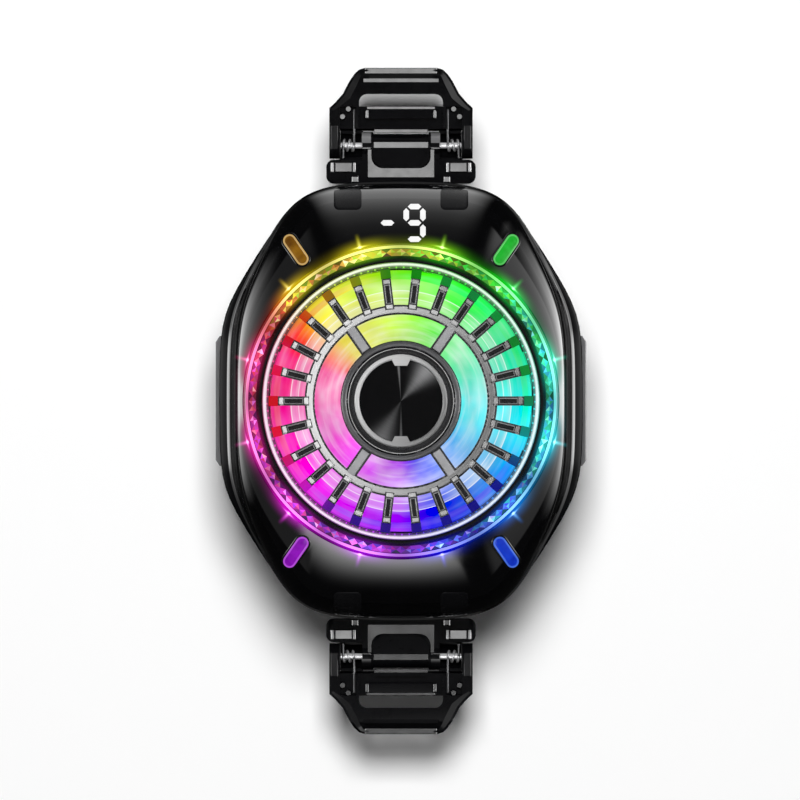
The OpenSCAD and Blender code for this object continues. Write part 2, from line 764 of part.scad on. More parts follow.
// Heatsink: base, fins along X, and pillars for the fan's screws
sink_screw_x = plate_w / 2 + 1;
sink_screw_y = 9;
sink_head_r = 1.3;
sink_shank_r = 0.7;
sink_half = max(fan_screw_at + lug_r + 1.2, sink_screw_x + sink_head_r + 0.5);
fin_half = fan_screw_at - 1.2;
fin_l = 2 * min(fan_screw_at - 1.6, sink_screw_x - sink_head_r - 0.4);
module heatsink() {
    fin_pitch = 2 * fin_half / (fin_count - 1);
    color("silver") difference() {
        union() {
            round_plate(2 * sink_half, 2 * sink_half, sink_base_t, sink_round, z_sink);
            for (k = [0:fin_count - 1])
                translate([-fin_l / 2, k * fin_pitch - fin_half - fin_t / 2, z_fins - join])
                    cube([fin_l, fin_t, fin_h + join]);
            corners(fan_screw_at, fan_screw_at) rod(lug_r - 0.4, z_fins - join, z_fan);
        }
        corners(fan_screw_at, fan_screw_at) rod(fan_shank_r + press_gap, z_fins + 0.3, z_fan + 1);
        corners(sink_screw_x, sink_screw_y) rod(sink_shank_r + drop_gap, z_sink - 1, z_fins + 1);
    }
}

module sink_screws() {
    color("dimgray") corners(sink_screw_x, sink_screw_y) {
        rod(sink_head_r, z_fins, z_fins + 0.9);
        rod(sink_shank_r, z_floor + 0.1, z_fins + join);
    }
}

// Thermoelectric module: two ceramic plates with rows of pellets between them
peltier_w = plate_w - 2 * peltier_inset;
ceramic_t = 0.7;
ceramic_round = 0.6;
pellet_rows = 6;
pellet_w = 1.6;
module peltier_plates() {
    color("whitesmoke") {
        round_plate(peltier_w, peltier_w, ceramic_t, ceramic_round, z_cold);
        round_plate(peltier_w, peltier_w, ceramic_t, ceramic_round, z_sink - ceramic_t);
    }
}

module peltier_pellets() {
    pitch = (peltier_w - 3) / (pellet_rows - 1);
    first = -(pellet_rows - 1) / 2 * pitch - pellet_w / 2;
    color("dimgray") for (i = [0:pellet_rows - 1], j = [0:pellet_rows - 1])
        translate([first + i * pitch, first + j * pitch, z_cold + ceramic_t])
            cube([pellet_w, pellet_w, peltier_t - 2 * ceramic_t]);
}

module insulation_frame() {
    inner = peltier_w + 2 * drop_gap;
    outer = 2 * (sink_screw_x - sink_shank_r - 0.5);
    color("#303030") difference() {
        round_plate(outer, outer, peltier_t, sink_round, z_cold);
        round_plate(inner, inner, peltier_t + 2, ceramic_round, z_cold - 1);
    }
}

module cold_plate() {
    outer = plate_w + 2 * flange_w;
    color("lightgray") difference() {
        union() {
            round_plate(plate_w, plate_w, z_cold, face_round, 0);
            round_plate(outer, outer, flange_t, flange_round, z_floor);
        }
        corners(sink_screw_x, sink_screw_y) rod(sink_shank_r + press_gap, z_floor - 0.2, z_cold + 1);
    }
}

// Boards and sockets at the sides
module control_board() {
    color("darkgreen") translate([board_in, -control_half, z_board])
        cube([board_out - board_in, 2 * control_half, board_t]);
}

chip_w = 3;
chip_y = 7.9;
module board_chips() {
    color("#202020") for (s = [-1, 1])
        translate([board_in + board_gap, s * chip_y - chip_w / 2, z_board + board_t])
            cube([chip_w, chip_w, 0.9]);
}

// Power socket: a metal shell with round ends and a tongue inside
socket_wall = 0.3;
contact_w = 6.6;
contact_t = 0.7;
module socket_form(inset, x0, x1) {
    h = socket_h / 2 - inset;
    translate([x0, 0, key_z]) rotate([90, 0, 90]) {
        translate([h + inset - socket_w / 2, -h, 0]) cube([socket_w - 2 * h - 2 * inset, 2 * h, x1 - x0]);
        for (s = [-1, 1]) translate([s * (socket_w / 2 - h - inset), 0, 0]) cylinder(r = h, h = x1 - x0);
    }
}
module usb_socket() {
    color("silver") {
        difference() {
            socket_form(0, board_in + board_gap, key_out - 0.3);
            socket_form(socket_wall, board_in + 2, key_out + 1);
        }
        translate([board_in + 1.8, -contact_w / 2, key_z - contact_t / 2])
            cube([key_out - board_in - 3.2, contact_w, contact_t]);
    }
}

// Bar on the right or left side with slanted ends, held by a flange behind the wall
module side_bar(seat) {
    end = key_l / 2;
    translate([0, 0, key_z - key_h / 2]) linear_extrude(key_h)
        polygon([[key_wall_in - seat - join, -end], [key_out - key_proud, -end], [key_out, 1 - end],
            [key_out, end - 1], [key_out - key_proud, end], [key_wall_in - seat - join, end]]);
    translate([key_wall_in - seat - key_flange_t, -end - key_flange, key_z - key_h / 2 - key_flange])
        cube([key_flange_t, key_l + 2 * key_flange, key_h + 2 * key_flange]);
}

module port_surround() {
    color("#3c3c40") difference() {
        side_bar(slip);
        socket_form(-drop_gap, wall_in - 3, key_out + 1);
        translate([0, -control_half - 1, z_board - 1])
            cube([board_out + drop_gap, 2 * control_half + 2, board_t + 1 + join]);
    }
}

// Side key: the bar, and a stem that reaches to the switch
stem_gap = 0.1;
stem_r = 1;
switch_w = 4;
switch_in = key_wall_in - key_flange_t - 2;
module power_key() {
    color("#3c3c40") mirror([1, 0, 0]) {
        side_bar(drop_gap);
        translate([switch_in + key_travel + stem_gap, 0, key_z]) rotate([0, 90, 0])
            cylinder(r = stem_r, h = key_wall_in - switch_in - key_travel - stem_gap - drop_gap - join);
    }
}

module key_board() {
    color("darkgreen") translate([-board_out + 1.2, -key_board_half, z_board])
        cube([board_out - 1.2 - board_in, 2 * key_board_half, board_t]);
}

module key_switch() {
    color("#d8d8d8") translate([-switch_in, -switch_w / 2, z_board + board_t])
        cube([switch_in - board_in - board_gap / 2, switch_w, socket_h - join]);
}

// Arm at one end: a plate inside the case, a cross block outside, knuckles on the pin, and spring troughs
module arm() {
    reach = hinge_y - block_out;
    block_in = end_half + block_gap;
    color("#121214") difference() {
        union() {
            translate([-arm_half, arm_in, z_floor]) cube([2 * arm_half, reach - arm_in, arm_t]);
            translate([0, (reach + block_in) / 2, 0])
                round_plate(2 * block_half, reach - block_in, block_h, block_round, block_z);
            for (s = [0, 1]) mirror([s, 0, 0])
                translate([foot_in, reach - foot_l - 0.5, block_z + block_h - join])
                    cube([foot_out - foot_in, foot_l, foot_h + join]);
            translate([-knuckle_half, reach - join, sweep_z])
                cube([2 * knuckle_half, block_out + join, block_z + block_h - 0.4 - sweep_z]);
            tongue();
            translate([0, hinge_y, pin_z]) rotate([0, 90, 0]) {
                translate([0, 0, -barrel_half]) cylinder(r = barrel_r, h = 2 * barrel_half);
                for (s = [0, 1]) mirror([0, 0, s]) {
                    translate([0, 0, barrel_half - join])
                        cylinder(r = knuckle_r, h = knuckle_half - barrel_half + join);
                    translate([0, 0, knuckle_half - join]) trough();
                }
            }
        }
        translate([-block_half - 1, hinge_y, pin_z]) rotate([0, 90, 0])
            cylinder(r = pin_r + press_gap, h = 2 * block_half + 2);
        for (s = [-1, 1]) translate([s * arm_screw_x, arm_screw_y, 0])
            rod(arm_shank_r + drop_gap, z_floor - 1, z_floor + arm_t + 1);
    }
}

// Half shell below one spring
module trough() {
    l = ear_in - knuckle_half - ear_gap + join;
    difference() {
        cylinder(r = trough_r, h = l);
        translate([0, 0, -1]) cylinder(r = trough_r - trough_t, h = l + 2);
        translate([-2 * trough_r, -trough_r, -1]) cube([2 * trough_r, 2 * trough_r + 1, l + 2]);
    }
}

// Outline from y = 0 to a length, with round corners at its far end
corner_steps = 5;
function tab_outline(half, l, r) =
    let (arc = [for (k = [0:corner_steps]) let (a = 90 * k / corner_steps)
        [half - r * (1 - cos(a)), l - r * (1 - sin(a))]])
    concat([[-half, 0], [half, 0]], arc, [for (k = [corner_steps:-1:0]) [-arc[k][0], arc[k][1]]]);

// Raised tab on the cross block, with round inner corners
tongue_half = 4.6;
tongue_round = 1.8;
tongue_l = 3.2;
tongue_back = 0.4;
module tongue() {
    translate([0, hinge_y - tongue_back, sweep_z]) mirror([0, 1, 0])
        linear_extrude(block_z + block_h + foot_h - sweep_z)
            polygon(tab_outline(tongue_half, tongue_l, tongue_round));
}

module top_arm() { arm(); }
module bottom_arm() { mirror([0, 1, 0]) arm(); }

module arm_screws() {
    color("dimgray") corners(arm_screw_x, arm_screw_y) {
        rod(arm_head_r, z_floor + arm_t, z_floor + arm_t + arm_head_t);
        rod(arm_shank_r, z_back + 0.5, z_floor + arm_t + join);
    }
}

module hinge_pin() {
    color("silver") translate([-jaw_half + 0.1, hinge_y, pin_z]) rotate([0, 90, 0])
        cylinder(r = pin_r, h = 2 * jaw_half - 0.2);
}

module top_hinge_pin() { hinge_pin(); }
module bottom_hinge_pin() { mirror([0, 1, 0]) hinge_pin(); }

// Torsion spring: the path of its wire, with a straight leg to the jaw and one to the arm's block
curl_rings = 8;
wire_sides = 6;
leg_out = jaw_near - 0.4;
leg_in = block_out - 0.3;
spring_path = concat([[spring_start, leg_out, spring_r], [spring_start, leg_out - wire_d, spring_r]],
    [for (k = [0:spring_turns * curl_rings]) let (a = 90 + 360 * k / curl_rings)
        [spring_start + spring_pitch * k / curl_rings, spring_r * cos(a), spring_r * sin(a)]],
    [[spring_end, wire_d - leg_in, spring_r], [spring_end, -leg_in, spring_r]]);

// Direction of the path at a point, and one ring of the wire's surface there
function unit(v) = v / norm(v);
function heading(i) = let (n = len(spring_path) - 1)
    unit(spring_path[min(i + 1, n)] - spring_path[max(i - 1, 0)]);
function outward(i) = let (n = len(spring_path) - 1, p = spring_path[i])
    i < 2 || i > n - 2 ? [0, 0, 1] : unit([0, p[1], p[2]]);
function wire_ring(i) =
    let (along = heading(i), up = unit(outward(i) - along * (outward(i) * along)), across = cross(along, up))
    [for (k = [0:wire_sides - 1]) let (a = 360 * k / wire_sides)
        spring_path[i] + wire_d / 2 * (cos(a) * up + sin(a) * across)];

// Least gap between the wire and itself, a turn or more apart
spring_gap = min([for (i = [2:len(spring_path) - 3], j = [i + curl_rings - 2:len(spring_path) - 3])
    norm(spring_path[i] - spring_path[j])]) - wire_d;
echo(spring_gap = spring_gap);

module spring() {
    capped_loft([for (i = [0:len(spring_path) - 1]) wire_ring(i)]);
}

module springs() {
    color("silver") translate([0, hinge_y, pin_z]) for (s = [0, 1]) mirror([s, 0, 0]) spring();
}

module top_springs() { springs(); }
module bottom_springs() { mirror([0, 1, 0]) springs(); }

// Jaw: ears on the pin, a plate with a window and pockets, and the lip that hooks the phone
window_half = 6.85;
window_near = 6.4;
window_far = 8.4;
window_round = 1.3;
cross_near = 4.4;
cross_half = 5.8;
rail_out = 7.3;
tip_half = 5.9;
corner_l = 6.1;
pocket_depth = 1.5;
jaw_top = plate_low + jaw_t;
jaw_low = plate_low - lip_depth;
edge_half = barrel_half - move_gap;
edge_near = barrel_r + move_gap;
edge_rise = 1.6;
guard_t = 0.4;
chamfer_w = 0.6;

// Flank of the jaw from its widest place to its tip: share of the narrowing, share of the length
flank = [[0, 0], [0.17, 0.14], [0.38, 0.35], [0.57, 0.67], [0.71, 0.85], [0.83, 0.95], [1, 1]];
function flank_point(p, s) =
    [s * (jaw_half - p[0] * (jaw_half - tip_half)), corner_l + p[1] * (jaw_l - corner_l)];

// Arc round the hinge, seen along it, below the plate's inner edge
guard_from = 4;
guard_to = -28;
guard_steps = 4;
function guard_point(r, k) = let (a = guard_from + (guard_to - guard_from) * k / guard_steps)
    [r * cos(a), pin_z + r * sin(a)];
module jaw() {
    color("#141416") translate([0, hinge_y, 0]) {
        jaw_plate();
        side_form(ear_in) polygon(concat([for (k = [0:guard_steps]) guard_point(jaw_near + guard_t, k)],
            [for (k = [guard_steps:-1:0]) guard_point(jaw_near, k)]));
        translate([-edge_half, edge_near, plate_low])
            cube([2 * edge_half, jaw_near - edge_near + guard_t, edge_rise]);
    }
}

// Shape seen along the hinge, to a half width on both sides
module side_form(half) {
    rotate([90, 0, 90]) translate([0, 0, -half]) linear_extrude(2 * half) children();
}

module jaw_plate() {
    difference() {
        union() {
            intersection() {
                translate([0, 0, jaw_low]) linear_extrude(jaw_top - jaw_low)
                    polygon(concat([[-jaw_half, 0], [jaw_half, 0]], [for (p = flank) flank_point(p, 1)],
                        [for (k = [len(flank) - 1:-1:0]) flank_point(flank[k], -1)]));
                side_form(jaw_half) polygon([[0, plate_low], [lip_in, plate_low], [lip_in, jaw_low],
                    [jaw_l - 0.4, jaw_low], [jaw_l, jaw_low + 0.4], [jaw_l, jaw_top - 1.5],
                    [jaw_l - 0.1, jaw_top - 1.3], [jaw_l - 0.9, jaw_top - 1.05], [jaw_l - 1.7, jaw_top - 0.2],
                    [jaw_l - 2.4, jaw_top], [0, jaw_top]]);
            }
            for (s = [0, 1]) mirror([s, 0, 0]) translate([ear_in, 0, pin_z]) rotate([0, 90, 0])
                cylinder(r = ear_r, h = ear_t);
        }
        translate([-ear_in, -jaw_near, 0]) cube([2 * ear_in, 2 * jaw_near, 2 * jaw_top]);
        translate([0, window_near, jaw_low]) linear_extrude(2 * jaw_top)
            polygon(tab_outline(window_half, window_far - window_near, window_round));
        side_form(window_half) polygon([[window_near - chamfer_w, jaw_top],
            [window_near + join, jaw_top - 0.2], [window_near + join, 2 * jaw_top],
            [window_near - chamfer_w, 2 * jaw_top]]);
        translate([-window_half, jaw_near - 1, jaw_top - pocket_depth])
            cube([2 * window_half, cross_near - jaw_near + 1, jaw_top]);
        for (s = [0, 1]) mirror([s, 0, 0]) {
            translate([rail_out, jaw_near - 1, jaw_top - pocket_depth])
                cube([ear_in - rail_out, window_near - jaw_near + 1, jaw_top]);
            translate([cross_half, cross_near - join, jaw_top - pocket_depth])
                cube([window_half - cross_half, window_near - cross_near + 2 * join, jaw_top]);
        }
        translate([-jaw_half - 1, 0, pin_z]) rotate([0, 90, 0])
            cylinder(r = pin_r + slip, h = 2 * jaw_half + 2);
    }
}

module top_jaw() { jaw(); }
module bottom_jaw() { mirror([0, 1, 0]) jaw(); }

// Soft pad in the corner between a jaw's plate and its lip
grip_t = 0.7;
grip_half = 5.6;
module jaw_pad() {
    color("#262626") translate([0, hinge_y, 0]) {
        translate([-grip_half, lip_in - grip_t, jaw_low + 0.2])
            cube([2 * grip_half, grip_t, lip_depth - 0.2]);
        translate([-grip_half, window_far + 0.2, plate_low - grip_t])
            cube([2 * grip_half, lip_in - window_far - 0.2, grip_t]);
    }
}

module top_jaw_pad() { jaw_pad(); }
module bottom_jaw_pad() { mirror([0, 1, 0]) jaw_pad(); }

front_cover();
mid_frame();
rear_housing();
case_screws();
back_pad();
light_ring();
channel_ring();
bright_ring();
led_board();
led_chips();
amber_lens();
green_lens();
violet_lens();
blue_lens();
display_segments();
display_board();
fan_grille();
hub_trim();
hub_bezel();
hub_disc();
fan_frame();
impeller();
rotor_magnet();
rotor_shaft();
shaft_bearing();
stator_core();
stator_coils();
fan_screws();
heatsink();
sink_screws();
peltier_plates();
peltier_pellets();
insulation_frame();
cold_plate();
control_board();
board_chips();
usb_socket();
port_surround();
power_key();
key_board();
key_switch();
top_arm();
bottom_arm();
arm_screws();
top_hinge_pin();
bottom_hinge_pin();
top_springs();
bottom_springs();
top_jaw();
bottom_jaw();
top_jaw_pad();
bottom_jaw_pad();
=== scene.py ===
"""Looks of the clip-on phone cooler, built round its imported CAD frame."""
import math
import random

import bpy
import bmesh
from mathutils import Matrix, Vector


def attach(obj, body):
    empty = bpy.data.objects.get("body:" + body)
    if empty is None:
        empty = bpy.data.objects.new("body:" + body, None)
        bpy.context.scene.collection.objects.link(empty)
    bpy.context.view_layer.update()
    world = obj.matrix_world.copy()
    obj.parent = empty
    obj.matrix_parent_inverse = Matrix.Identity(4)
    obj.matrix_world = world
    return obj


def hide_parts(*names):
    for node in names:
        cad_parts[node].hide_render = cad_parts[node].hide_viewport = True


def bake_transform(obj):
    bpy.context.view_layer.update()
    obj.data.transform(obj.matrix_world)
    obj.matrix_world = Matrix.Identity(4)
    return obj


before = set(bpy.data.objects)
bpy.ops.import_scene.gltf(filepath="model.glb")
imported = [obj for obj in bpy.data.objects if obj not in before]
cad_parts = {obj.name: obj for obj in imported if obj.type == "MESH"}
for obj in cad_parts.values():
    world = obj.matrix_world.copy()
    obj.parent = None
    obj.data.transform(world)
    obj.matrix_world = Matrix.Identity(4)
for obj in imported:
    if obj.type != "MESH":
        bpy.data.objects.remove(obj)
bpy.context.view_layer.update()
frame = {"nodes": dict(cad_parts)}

MM = 0.001
nodes, scene = frame["nodes"], bpy.context.scene

# Sizes of the CAD model, in millimetres
OPENING_R = 25.55
SIDE_HALF, DIAG_HALF, END_HALF, CORNER_HALF = 26.45, 30.05, 35.35, 37.15
SIDE_STEP, DIAG_STEP, END_LAND = 3.1, 2.4, 9.8
OUTLINE_POWER = 24
WALL, EDGE_H, DOME_INSET = 1.6, 0.8, 1.5
Z_SEAM, Z_RIM, Z_FAN_TOP, Z_LED = 14.2, 24.0, 21.6, 18.2
Z_LIGHT, Z_LIGHT_TOP = 20.2, 24.3
LIGHT_R, LIGHT_OUT = 23.5, 25.5
GRILLE_TOP, HUB_TOP = 22.9, 23.6
LENS_AT_R, LENS_ANGLE, LENS_L, LENS_W = 29.85, 55.2, 5.7, 2.1
DIGIT_X, SIGN_X, DIGIT_Y = 2.2, -2.2, 28.85
DIGIT_W, DIGIT_H, SEGMENT_T, SEGMENT_GAP = 3.6, 6.2, 0.9, 0.25
HINGE_Y, PIN_Z = 41.75, 2.9
SPRING_START, SPRING_R, SPRING_PITCH, SPRING_TURNS, WIRE_D = 7.65, 0.9, 0.9, 2, 0.4
LEG_OUT, LEG_IN = 5.9, 2.05
JAW_HALF, JAW_TIP, JAW_CORNER, JAW_L = 11.7, 5.9, 6.1, 12.7
FLANK = [(0, 0), (0.17, 0.14), (0.38, 0.35), (0.57, 0.67), (0.71, 0.85), (0.83, 0.95), (1, 1)]
SPOKES, DASHES, GEMS = 26, 117, 96

# Trim that only this script makes: radii from and to, half widths across a radius, heights, and how deep it sinks in
RIM_W, GEM_DROP, GEM_CORNER_H, GEM_PEAK_H = 0.85, 0.8, 0.05, 0.3
CAP_RING, HUB_RING, CAP_EDGE_H, CAP_H, CAP_BEVEL = (14.3, 15.3), (8.85, 9.62), 0.08, 0.16, 0.12
THICK_BAR, SPOKE_BAR, BAR_FACE = (9.95, 14.5, 0.68), (15.85, 18.95, 0.5), (16.0, 18.8, 0.34)
SPOKE_TIP = (19.95, 21.45, 0.82)
STUDS_AT, STUD_L, STUD_HALF, STUD_Z = (15.02, 19.08), 0.66, 0.52, 0.2
DASH_IN, DASH_OUT, DASH_Z, DASH_H = 21.5, 21.82, 0.6, 0.05
SINK = 0.02

# Radii in the materials: terraces of colour behind the grille, painted lines of light on the bright ring and the trim,
# and the channel's painted spill of the ring's light
TERRACES, TERRACE_EDGES = (16.0, 22.0), ((0.31, 0.33), (0.615, 0.63), (0.77, 0.79))
LINE_RISE, LINE_FALL, TRIM_HIGHLIGHT_R, CHANNEL_RISE = (21.88, 22.02), (22.28, 22.42), 8.6, (22.7, 23.8)

# Nearly all values of a noise lie between these two; scale and depth of the fine grain
NOISE_LOW, NOISE_HIGH = 0.3, 0.7
FINE_GRAIN, GRAIN_DEPTH = 3500, 0.00003

# Lights under the ring: twelve bright places, the first at 15 degrees
LAMPS, FIRST_LAMP = 12, 15

# Colour of the light round the ring: share of a turn, and hue counted from cyan back to cyan
CYAN = 0.5
HUES = [(0.0, 1.0), (0.375, 0.655), (0.44, 0.43), (0.5, 0.415), (0.75, 0.265), (0.79, 0.17), (0.96, 0.012), (1.0, 0.0)]


# ---- outline of the shells, as in the CAD ----

def edge_pull(a, faces, reach):
    f = math.radians(faces)
    return ((math.cos(f) * abs(math.cos(a)) + math.sin(f) * abs(math.sin(a))) / reach) ** OUTLINE_POWER


def outline_r(a, diag_angle, diag, side):
    pulls = (edge_pull(a, 90, END_HALF) + edge_pull(a, 61, CORNER_HALF)
             + edge_pull(a, diag_angle, diag) + edge_pull(a, 0, side))
    return pulls ** (-1 / OUTLINE_POWER)


def case_r(a):
    return outline_r(a, 31.7, DIAG_HALF + DIAG_STEP, SIDE_HALF + SIDE_STEP)


def cover_r(a):
    return outline_r(a, 24.6, DIAG_HALF, SIDE_HALF)


def seam_r(a):
    return (case_r(a) + cover_r(a)) / 2


def edge_drop(a):
    return (Z_RIM - Z_SEAM - EDGE_H) * min(1, (cover_r(a) - OPENING_R) / END_LAND)


def dome_point(a, step, inset=0.0):
    """Radius and height on the domed top: step 0 lies inside the opening, step 90 degrees on the cover's edge."""
    inner = OPENING_R - DOME_INSET
    drop = min(edge_drop(a), Z_RIM - inset - Z_SEAM - EDGE_H / 2)
    return (inner + (cover_r(a) - inset - inner) * math.sin(step),
            Z_RIM - inset - drop * (1 - math.cos(step)))


def dome_z(x, y):
    a, inner = math.atan2(y, x), OPENING_R - DOME_INSET
    out = (math.hypot(x, y) - inner) / (cover_r(a) - inner)
    return Z_RIM - edge_drop(a) * (1 - math.sqrt(1 - max(0, min(1, out)) ** 2))


# ---- mesh helpers: points in millimetres ----

def polar(r, a, z):
    return (r * math.cos(a), r * math.sin(a), z)


def turn(p, a):
    c, s = math.cos(a), math.sin(a)
    return (p[0] * c - p[1] * s, p[0] * s + p[1] * c, p[2])


def put(name, data):
    """New object in the scene."""
    obj = bpy.data.objects.new(name, data)
    scene.collection.objects.link(obj)
    return obj


def piece(name, points, faces, materials, body="case", slot=None, stands_for=(), sharp=35, face_slots=None):
    """One object of the part, riding on a CAD body."""
    mesh = bpy.data.meshes.new(name)
    mesh.from_pydata([tuple(c * MM for c in p) for p in points], [], faces)
    for m in materials:
        mesh.materials.append(LOOKS[m])
    if face_slots:
        mesh.polygons.foreach_set("material_index", face_slots)
    bm = bmesh.new()
    bm.from_mesh(mesh)
    bmesh.ops.recalc_face_normals(bm, faces=bm.faces)
    bm.to_mesh(mesh)
    bm.free()
    mesh.polygons.foreach_set("use_smooth", [sharp > 0] * len(mesh.polygons))
    if sharp:
        mesh.set_sharp_from_angle(angle=math.radians(sharp))
    obj = put(name, mesh)
    if body:
        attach(obj, body)
    for n in stands_for:
        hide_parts(n)
    return obj


def angles(n):
    """Angles of n points round a full turn."""
    return [math.tau * k / n for k in range(n)]


def hoop_faces(m, n, closed=True):
    """Quads between m rings of n points, closed round, and from the last ring to the first unless told not to."""
    return [(j * n + i, j * n + (i + 1) % n, (j + 1) % m * n + (i + 1) % n, (j + 1) % m * n + i)
            for j in range(m if closed else m - 1) for i in range(n)]


def capped_faces(m, n):
    """Quads between m rings of n points, and a face over each end."""
    return hoop_faces(m, n, False) + [tuple(range(n - 1, -1, -1)), tuple(range((m - 1) * n, m * n))]


def lathe(profile, n=240):
    """Solid of revolution of a closed profile of (radius, height) points."""
    points = [polar(r, a, z) for r, z in profile for a in angles(n)]
    return points, hoop_faces(len(profile), n)


def inset(outline, d):
    """Convex outline moved inwards by d."""
    n, out = len(outline), []
    for i in range(n):
        p, a, b = (Vector(outline[k % n]) for k in (i, i - 1, i + 1))
        u, v = (p - a).normalized(), (b - p).normalized()
        nu, nv = Vector((-u.y, u.x)), Vector((-v.y, v.x))
        out.append(tuple(p + (nu + nv) * (d / (1 + nu.dot(nv)))))
    return out


def prism(outline, z0, z1, chamfer):
    """Upright block on a convex outline, with chamfered upper edges."""
    levels = [(outline, z0), (outline, z1 - chamfer), (inset(outline, chamfer), z1)]
    points = [(x, y, z) for shape, z in levels for x, y in shape]
    return points, capped_faces(len(levels), len(outline))


def corners(x0, x1, y0, y1):
    return [(x0, y0), (x1, y0), (x1, y1), (x0, y1)]


def rectangle(x0, x1, half):
    return corners(x0, x1, -half, half)


class Pile:
    """Gathers several solids into one mesh."""

    def __init__(self):
        self.points, self.faces, self.slots = [], [], []

    def add(self, solid, angle=0.0, slot=0):
        base = len(self.points)
        self.points += [turn(p, angle) for p in solid[0]]
        self.faces += [tuple(base + i for i in f) for f in solid[1]]
        self.slots += [slot] * len(solid[1])

    def make(self, name, materials, **more):
        return piece(name, self.points, self.faces, materials, face_slots=self.slots, **more)


# ---- material helpers ----

def feed(made, inputs):
    """Links inputs of a node to sockets, or sets their values."""
    for key, value in inputs.items():
        if isinstance(value, bpy.types.NodeSocket):
            made.id_data.links.new(value, made.inputs[key])
        else:
            made.inputs[key].default_value = value


def node(kind, inputs, **settings):
    """New node in the tree to which its linked inputs belong."""
    tree = next(v for v in inputs.values() if isinstance(v, bpy.types.NodeSocket)).id_data
    made = tree.nodes.new(kind)
    for key, value in settings.items():
        setattr(made, key, value)
    feed(made, inputs)
    return made


def source(tree, kind, output):
    """Output of a new node that has no inputs."""
    return tree.nodes.new(kind).outputs[output]


def calc(op, a, b=0.0, c=0.0):
    return node("ShaderNodeMath", {0: a, 1: b, 2: c}, operation=op).outputs[0]


def product(*values):
    result = values[0]
    for v in values[1:]:
        result = calc("MULTIPLY", result, v)
    return result


def total(*values):
    result = values[0]
    for v in values[1:]:
        result = calc("ADD", result, v)
    return result


def remap(value, from_min, from_max, to_min=0.0, to_max=1.0, smooth=False):
    return node("ShaderNodeMapRange",
                {"Value": value, "From Min": from_min, "From Max": from_max, "To Min": to_min, "To Max": to_max},
                interpolation_type="SMOOTHSTEP" if smooth else "LINEAR").outputs[0]


def rgba(colour):
    """Full colour from a colour, from a grey with its own blue, or from one level."""
    if not isinstance(colour, tuple):
        return (colour, colour, colour, 1)
    return (colour[0], *colour, 1) if len(colour) == 2 else (*colour, 1)


def ramp(value, stops):
    """Colours along a value, each with its place."""
    made = node("ShaderNodeValToRGB", {"Fac": value})
    band = made.color_ramp
    while len(band.elements) < len(stops):
        band.elements.new(0.5)
    for element, (at, colour) in zip(band.elements, stops):
        element.position = at
        element.color = rgba(colour)
    return made.outputs["Color"]


def noise(tree, scale, detail=3.0):
    where = source(tree, "ShaderNodeTexCoord", "Object")
    inputs = {"Vector": where, "Scale": scale, "Detail": detail, "Roughness": 0.55}
    return node("ShaderNodeTexNoise", inputs).outputs["Fac"]


def spread(value, low, high):
    """A noise drawn out between two levels."""
    return remap(value, NOISE_LOW, NOISE_HIGH, low, high)


def tint(value, dark, light):
    """Colour between two, by a noise."""
    return ramp(value, [(NOISE_LOW, dark), (NOISE_HIGH, light)])


def relief(height, strength, depth):
    return node("ShaderNodeBump", {"Height": height, "Strength": strength, "Distance": depth}).outputs["Normal"]


LOOKS = {}


def blank(name):
    """Node tree and shader of a new material, which LOOKS keeps by its name."""
    made = LOOKS[name] = bpy.data.materials.new(name)
    made.use_nodes = True
    return made.node_tree, made.node_tree.nodes["Principled BSDF"]


def surface(name, dark, light, rough, grain=900, bump=0.0, metallic=0.0, specular=0.5):
    """Moulded or metal finish: drifting colour, uneven gloss and a fine grain."""
    tree, bsdf = blank(name)
    feed(bsdf, {"Base Color": tint(noise(tree, grain * 0.25, detail=4), dark, light),
                "Roughness": spread(noise(tree, grain), *rough),
                "Metallic": metallic, "Specular IOR Level": specular})
    if bump:
        feed(bsdf, {"Normal": relief(noise(tree, FINE_GRAIN, detail=2), bump, GRAIN_DEPTH)})


def vector(op, output, a, b=(0, 0, 0)):
    return node("ShaderNodeVectorMath", {0: a, 1: b}, operation=op).outputs[output]


def place(tree):
    """Sockets of the angle round the fan's axis, in radians, and of the distance from it, in millimetres."""
    where = node("ShaderNodeSeparateXYZ", {0: source(tree, "ShaderNodeNewGeometry", "Position")})
    x, y = where.outputs["X"], where.outputs["Y"]
    flat = node("ShaderNodeCombineXYZ", {"X": x, "Y": y})
    return calc("ARCTAN2", y, x), product(vector("LENGTH", "Value", flat.outputs[0]), 1 / MM)


def wheel(angle, saturation, value, shift=0.0):
    """Colour of the light at an angle: cyan at the right, then anticlockwise to green, yellow, red, violet and blue."""
    share = calc("FRACT", product(angle, 1 / math.tau))
    hue = calc("FRACT", total(ramp(share, HUES), CYAN, shift))
    made = node("ShaderNodeCombineColor", {0: hue, 1: saturation, 2: value}, mode="HSV")
    return node("ShaderNodeGamma", {"Color": made.outputs[0], "Gamma": 2.2}).outputs[0]


def facing(angle, faces):
    """One towards an angle in degrees, and minus one away from it."""
    return calc("COSINE", calc("SUBTRACT", angle, math.radians(faces)))


def peak(wave, sharpness):
    """Peaks from nothing to one, made from a wave from minus one to one."""
    return calc("POWER", calc("MULTIPLY_ADD", wave, 0.5, 0.5), sharpness)


def lamp_spots(angle, sharpness):
    """One over each lamp under the ring, and less between them."""
    off = calc("SUBTRACT", angle, math.radians(FIRST_LAMP))
    return peak(calc("COSINE", product(off, LAMPS)), sharpness)


def blend_colour(factor, a, b):
    return node("ShaderNodeMix", {0: factor, 6: a, 7: b}, data_type="RGBA").outputs[2]


def round_noise(angle, radius, radial, around, detail=2.0):
    """Noise drawn out along circles round the fan's axis."""
    turned = node("ShaderNodeCombineXYZ", {"X": product(radius, radial),
                                           "Y": product(calc("COSINE", angle), around),
                                           "Z": product(calc("SINE", angle), around)})
    inputs = {"Vector": turned.outputs[0], "Scale": 1.0, "Detail": detail}
    return node("ShaderNodeTexNoise", inputs).outputs["Fac"]


# ---- materials ----

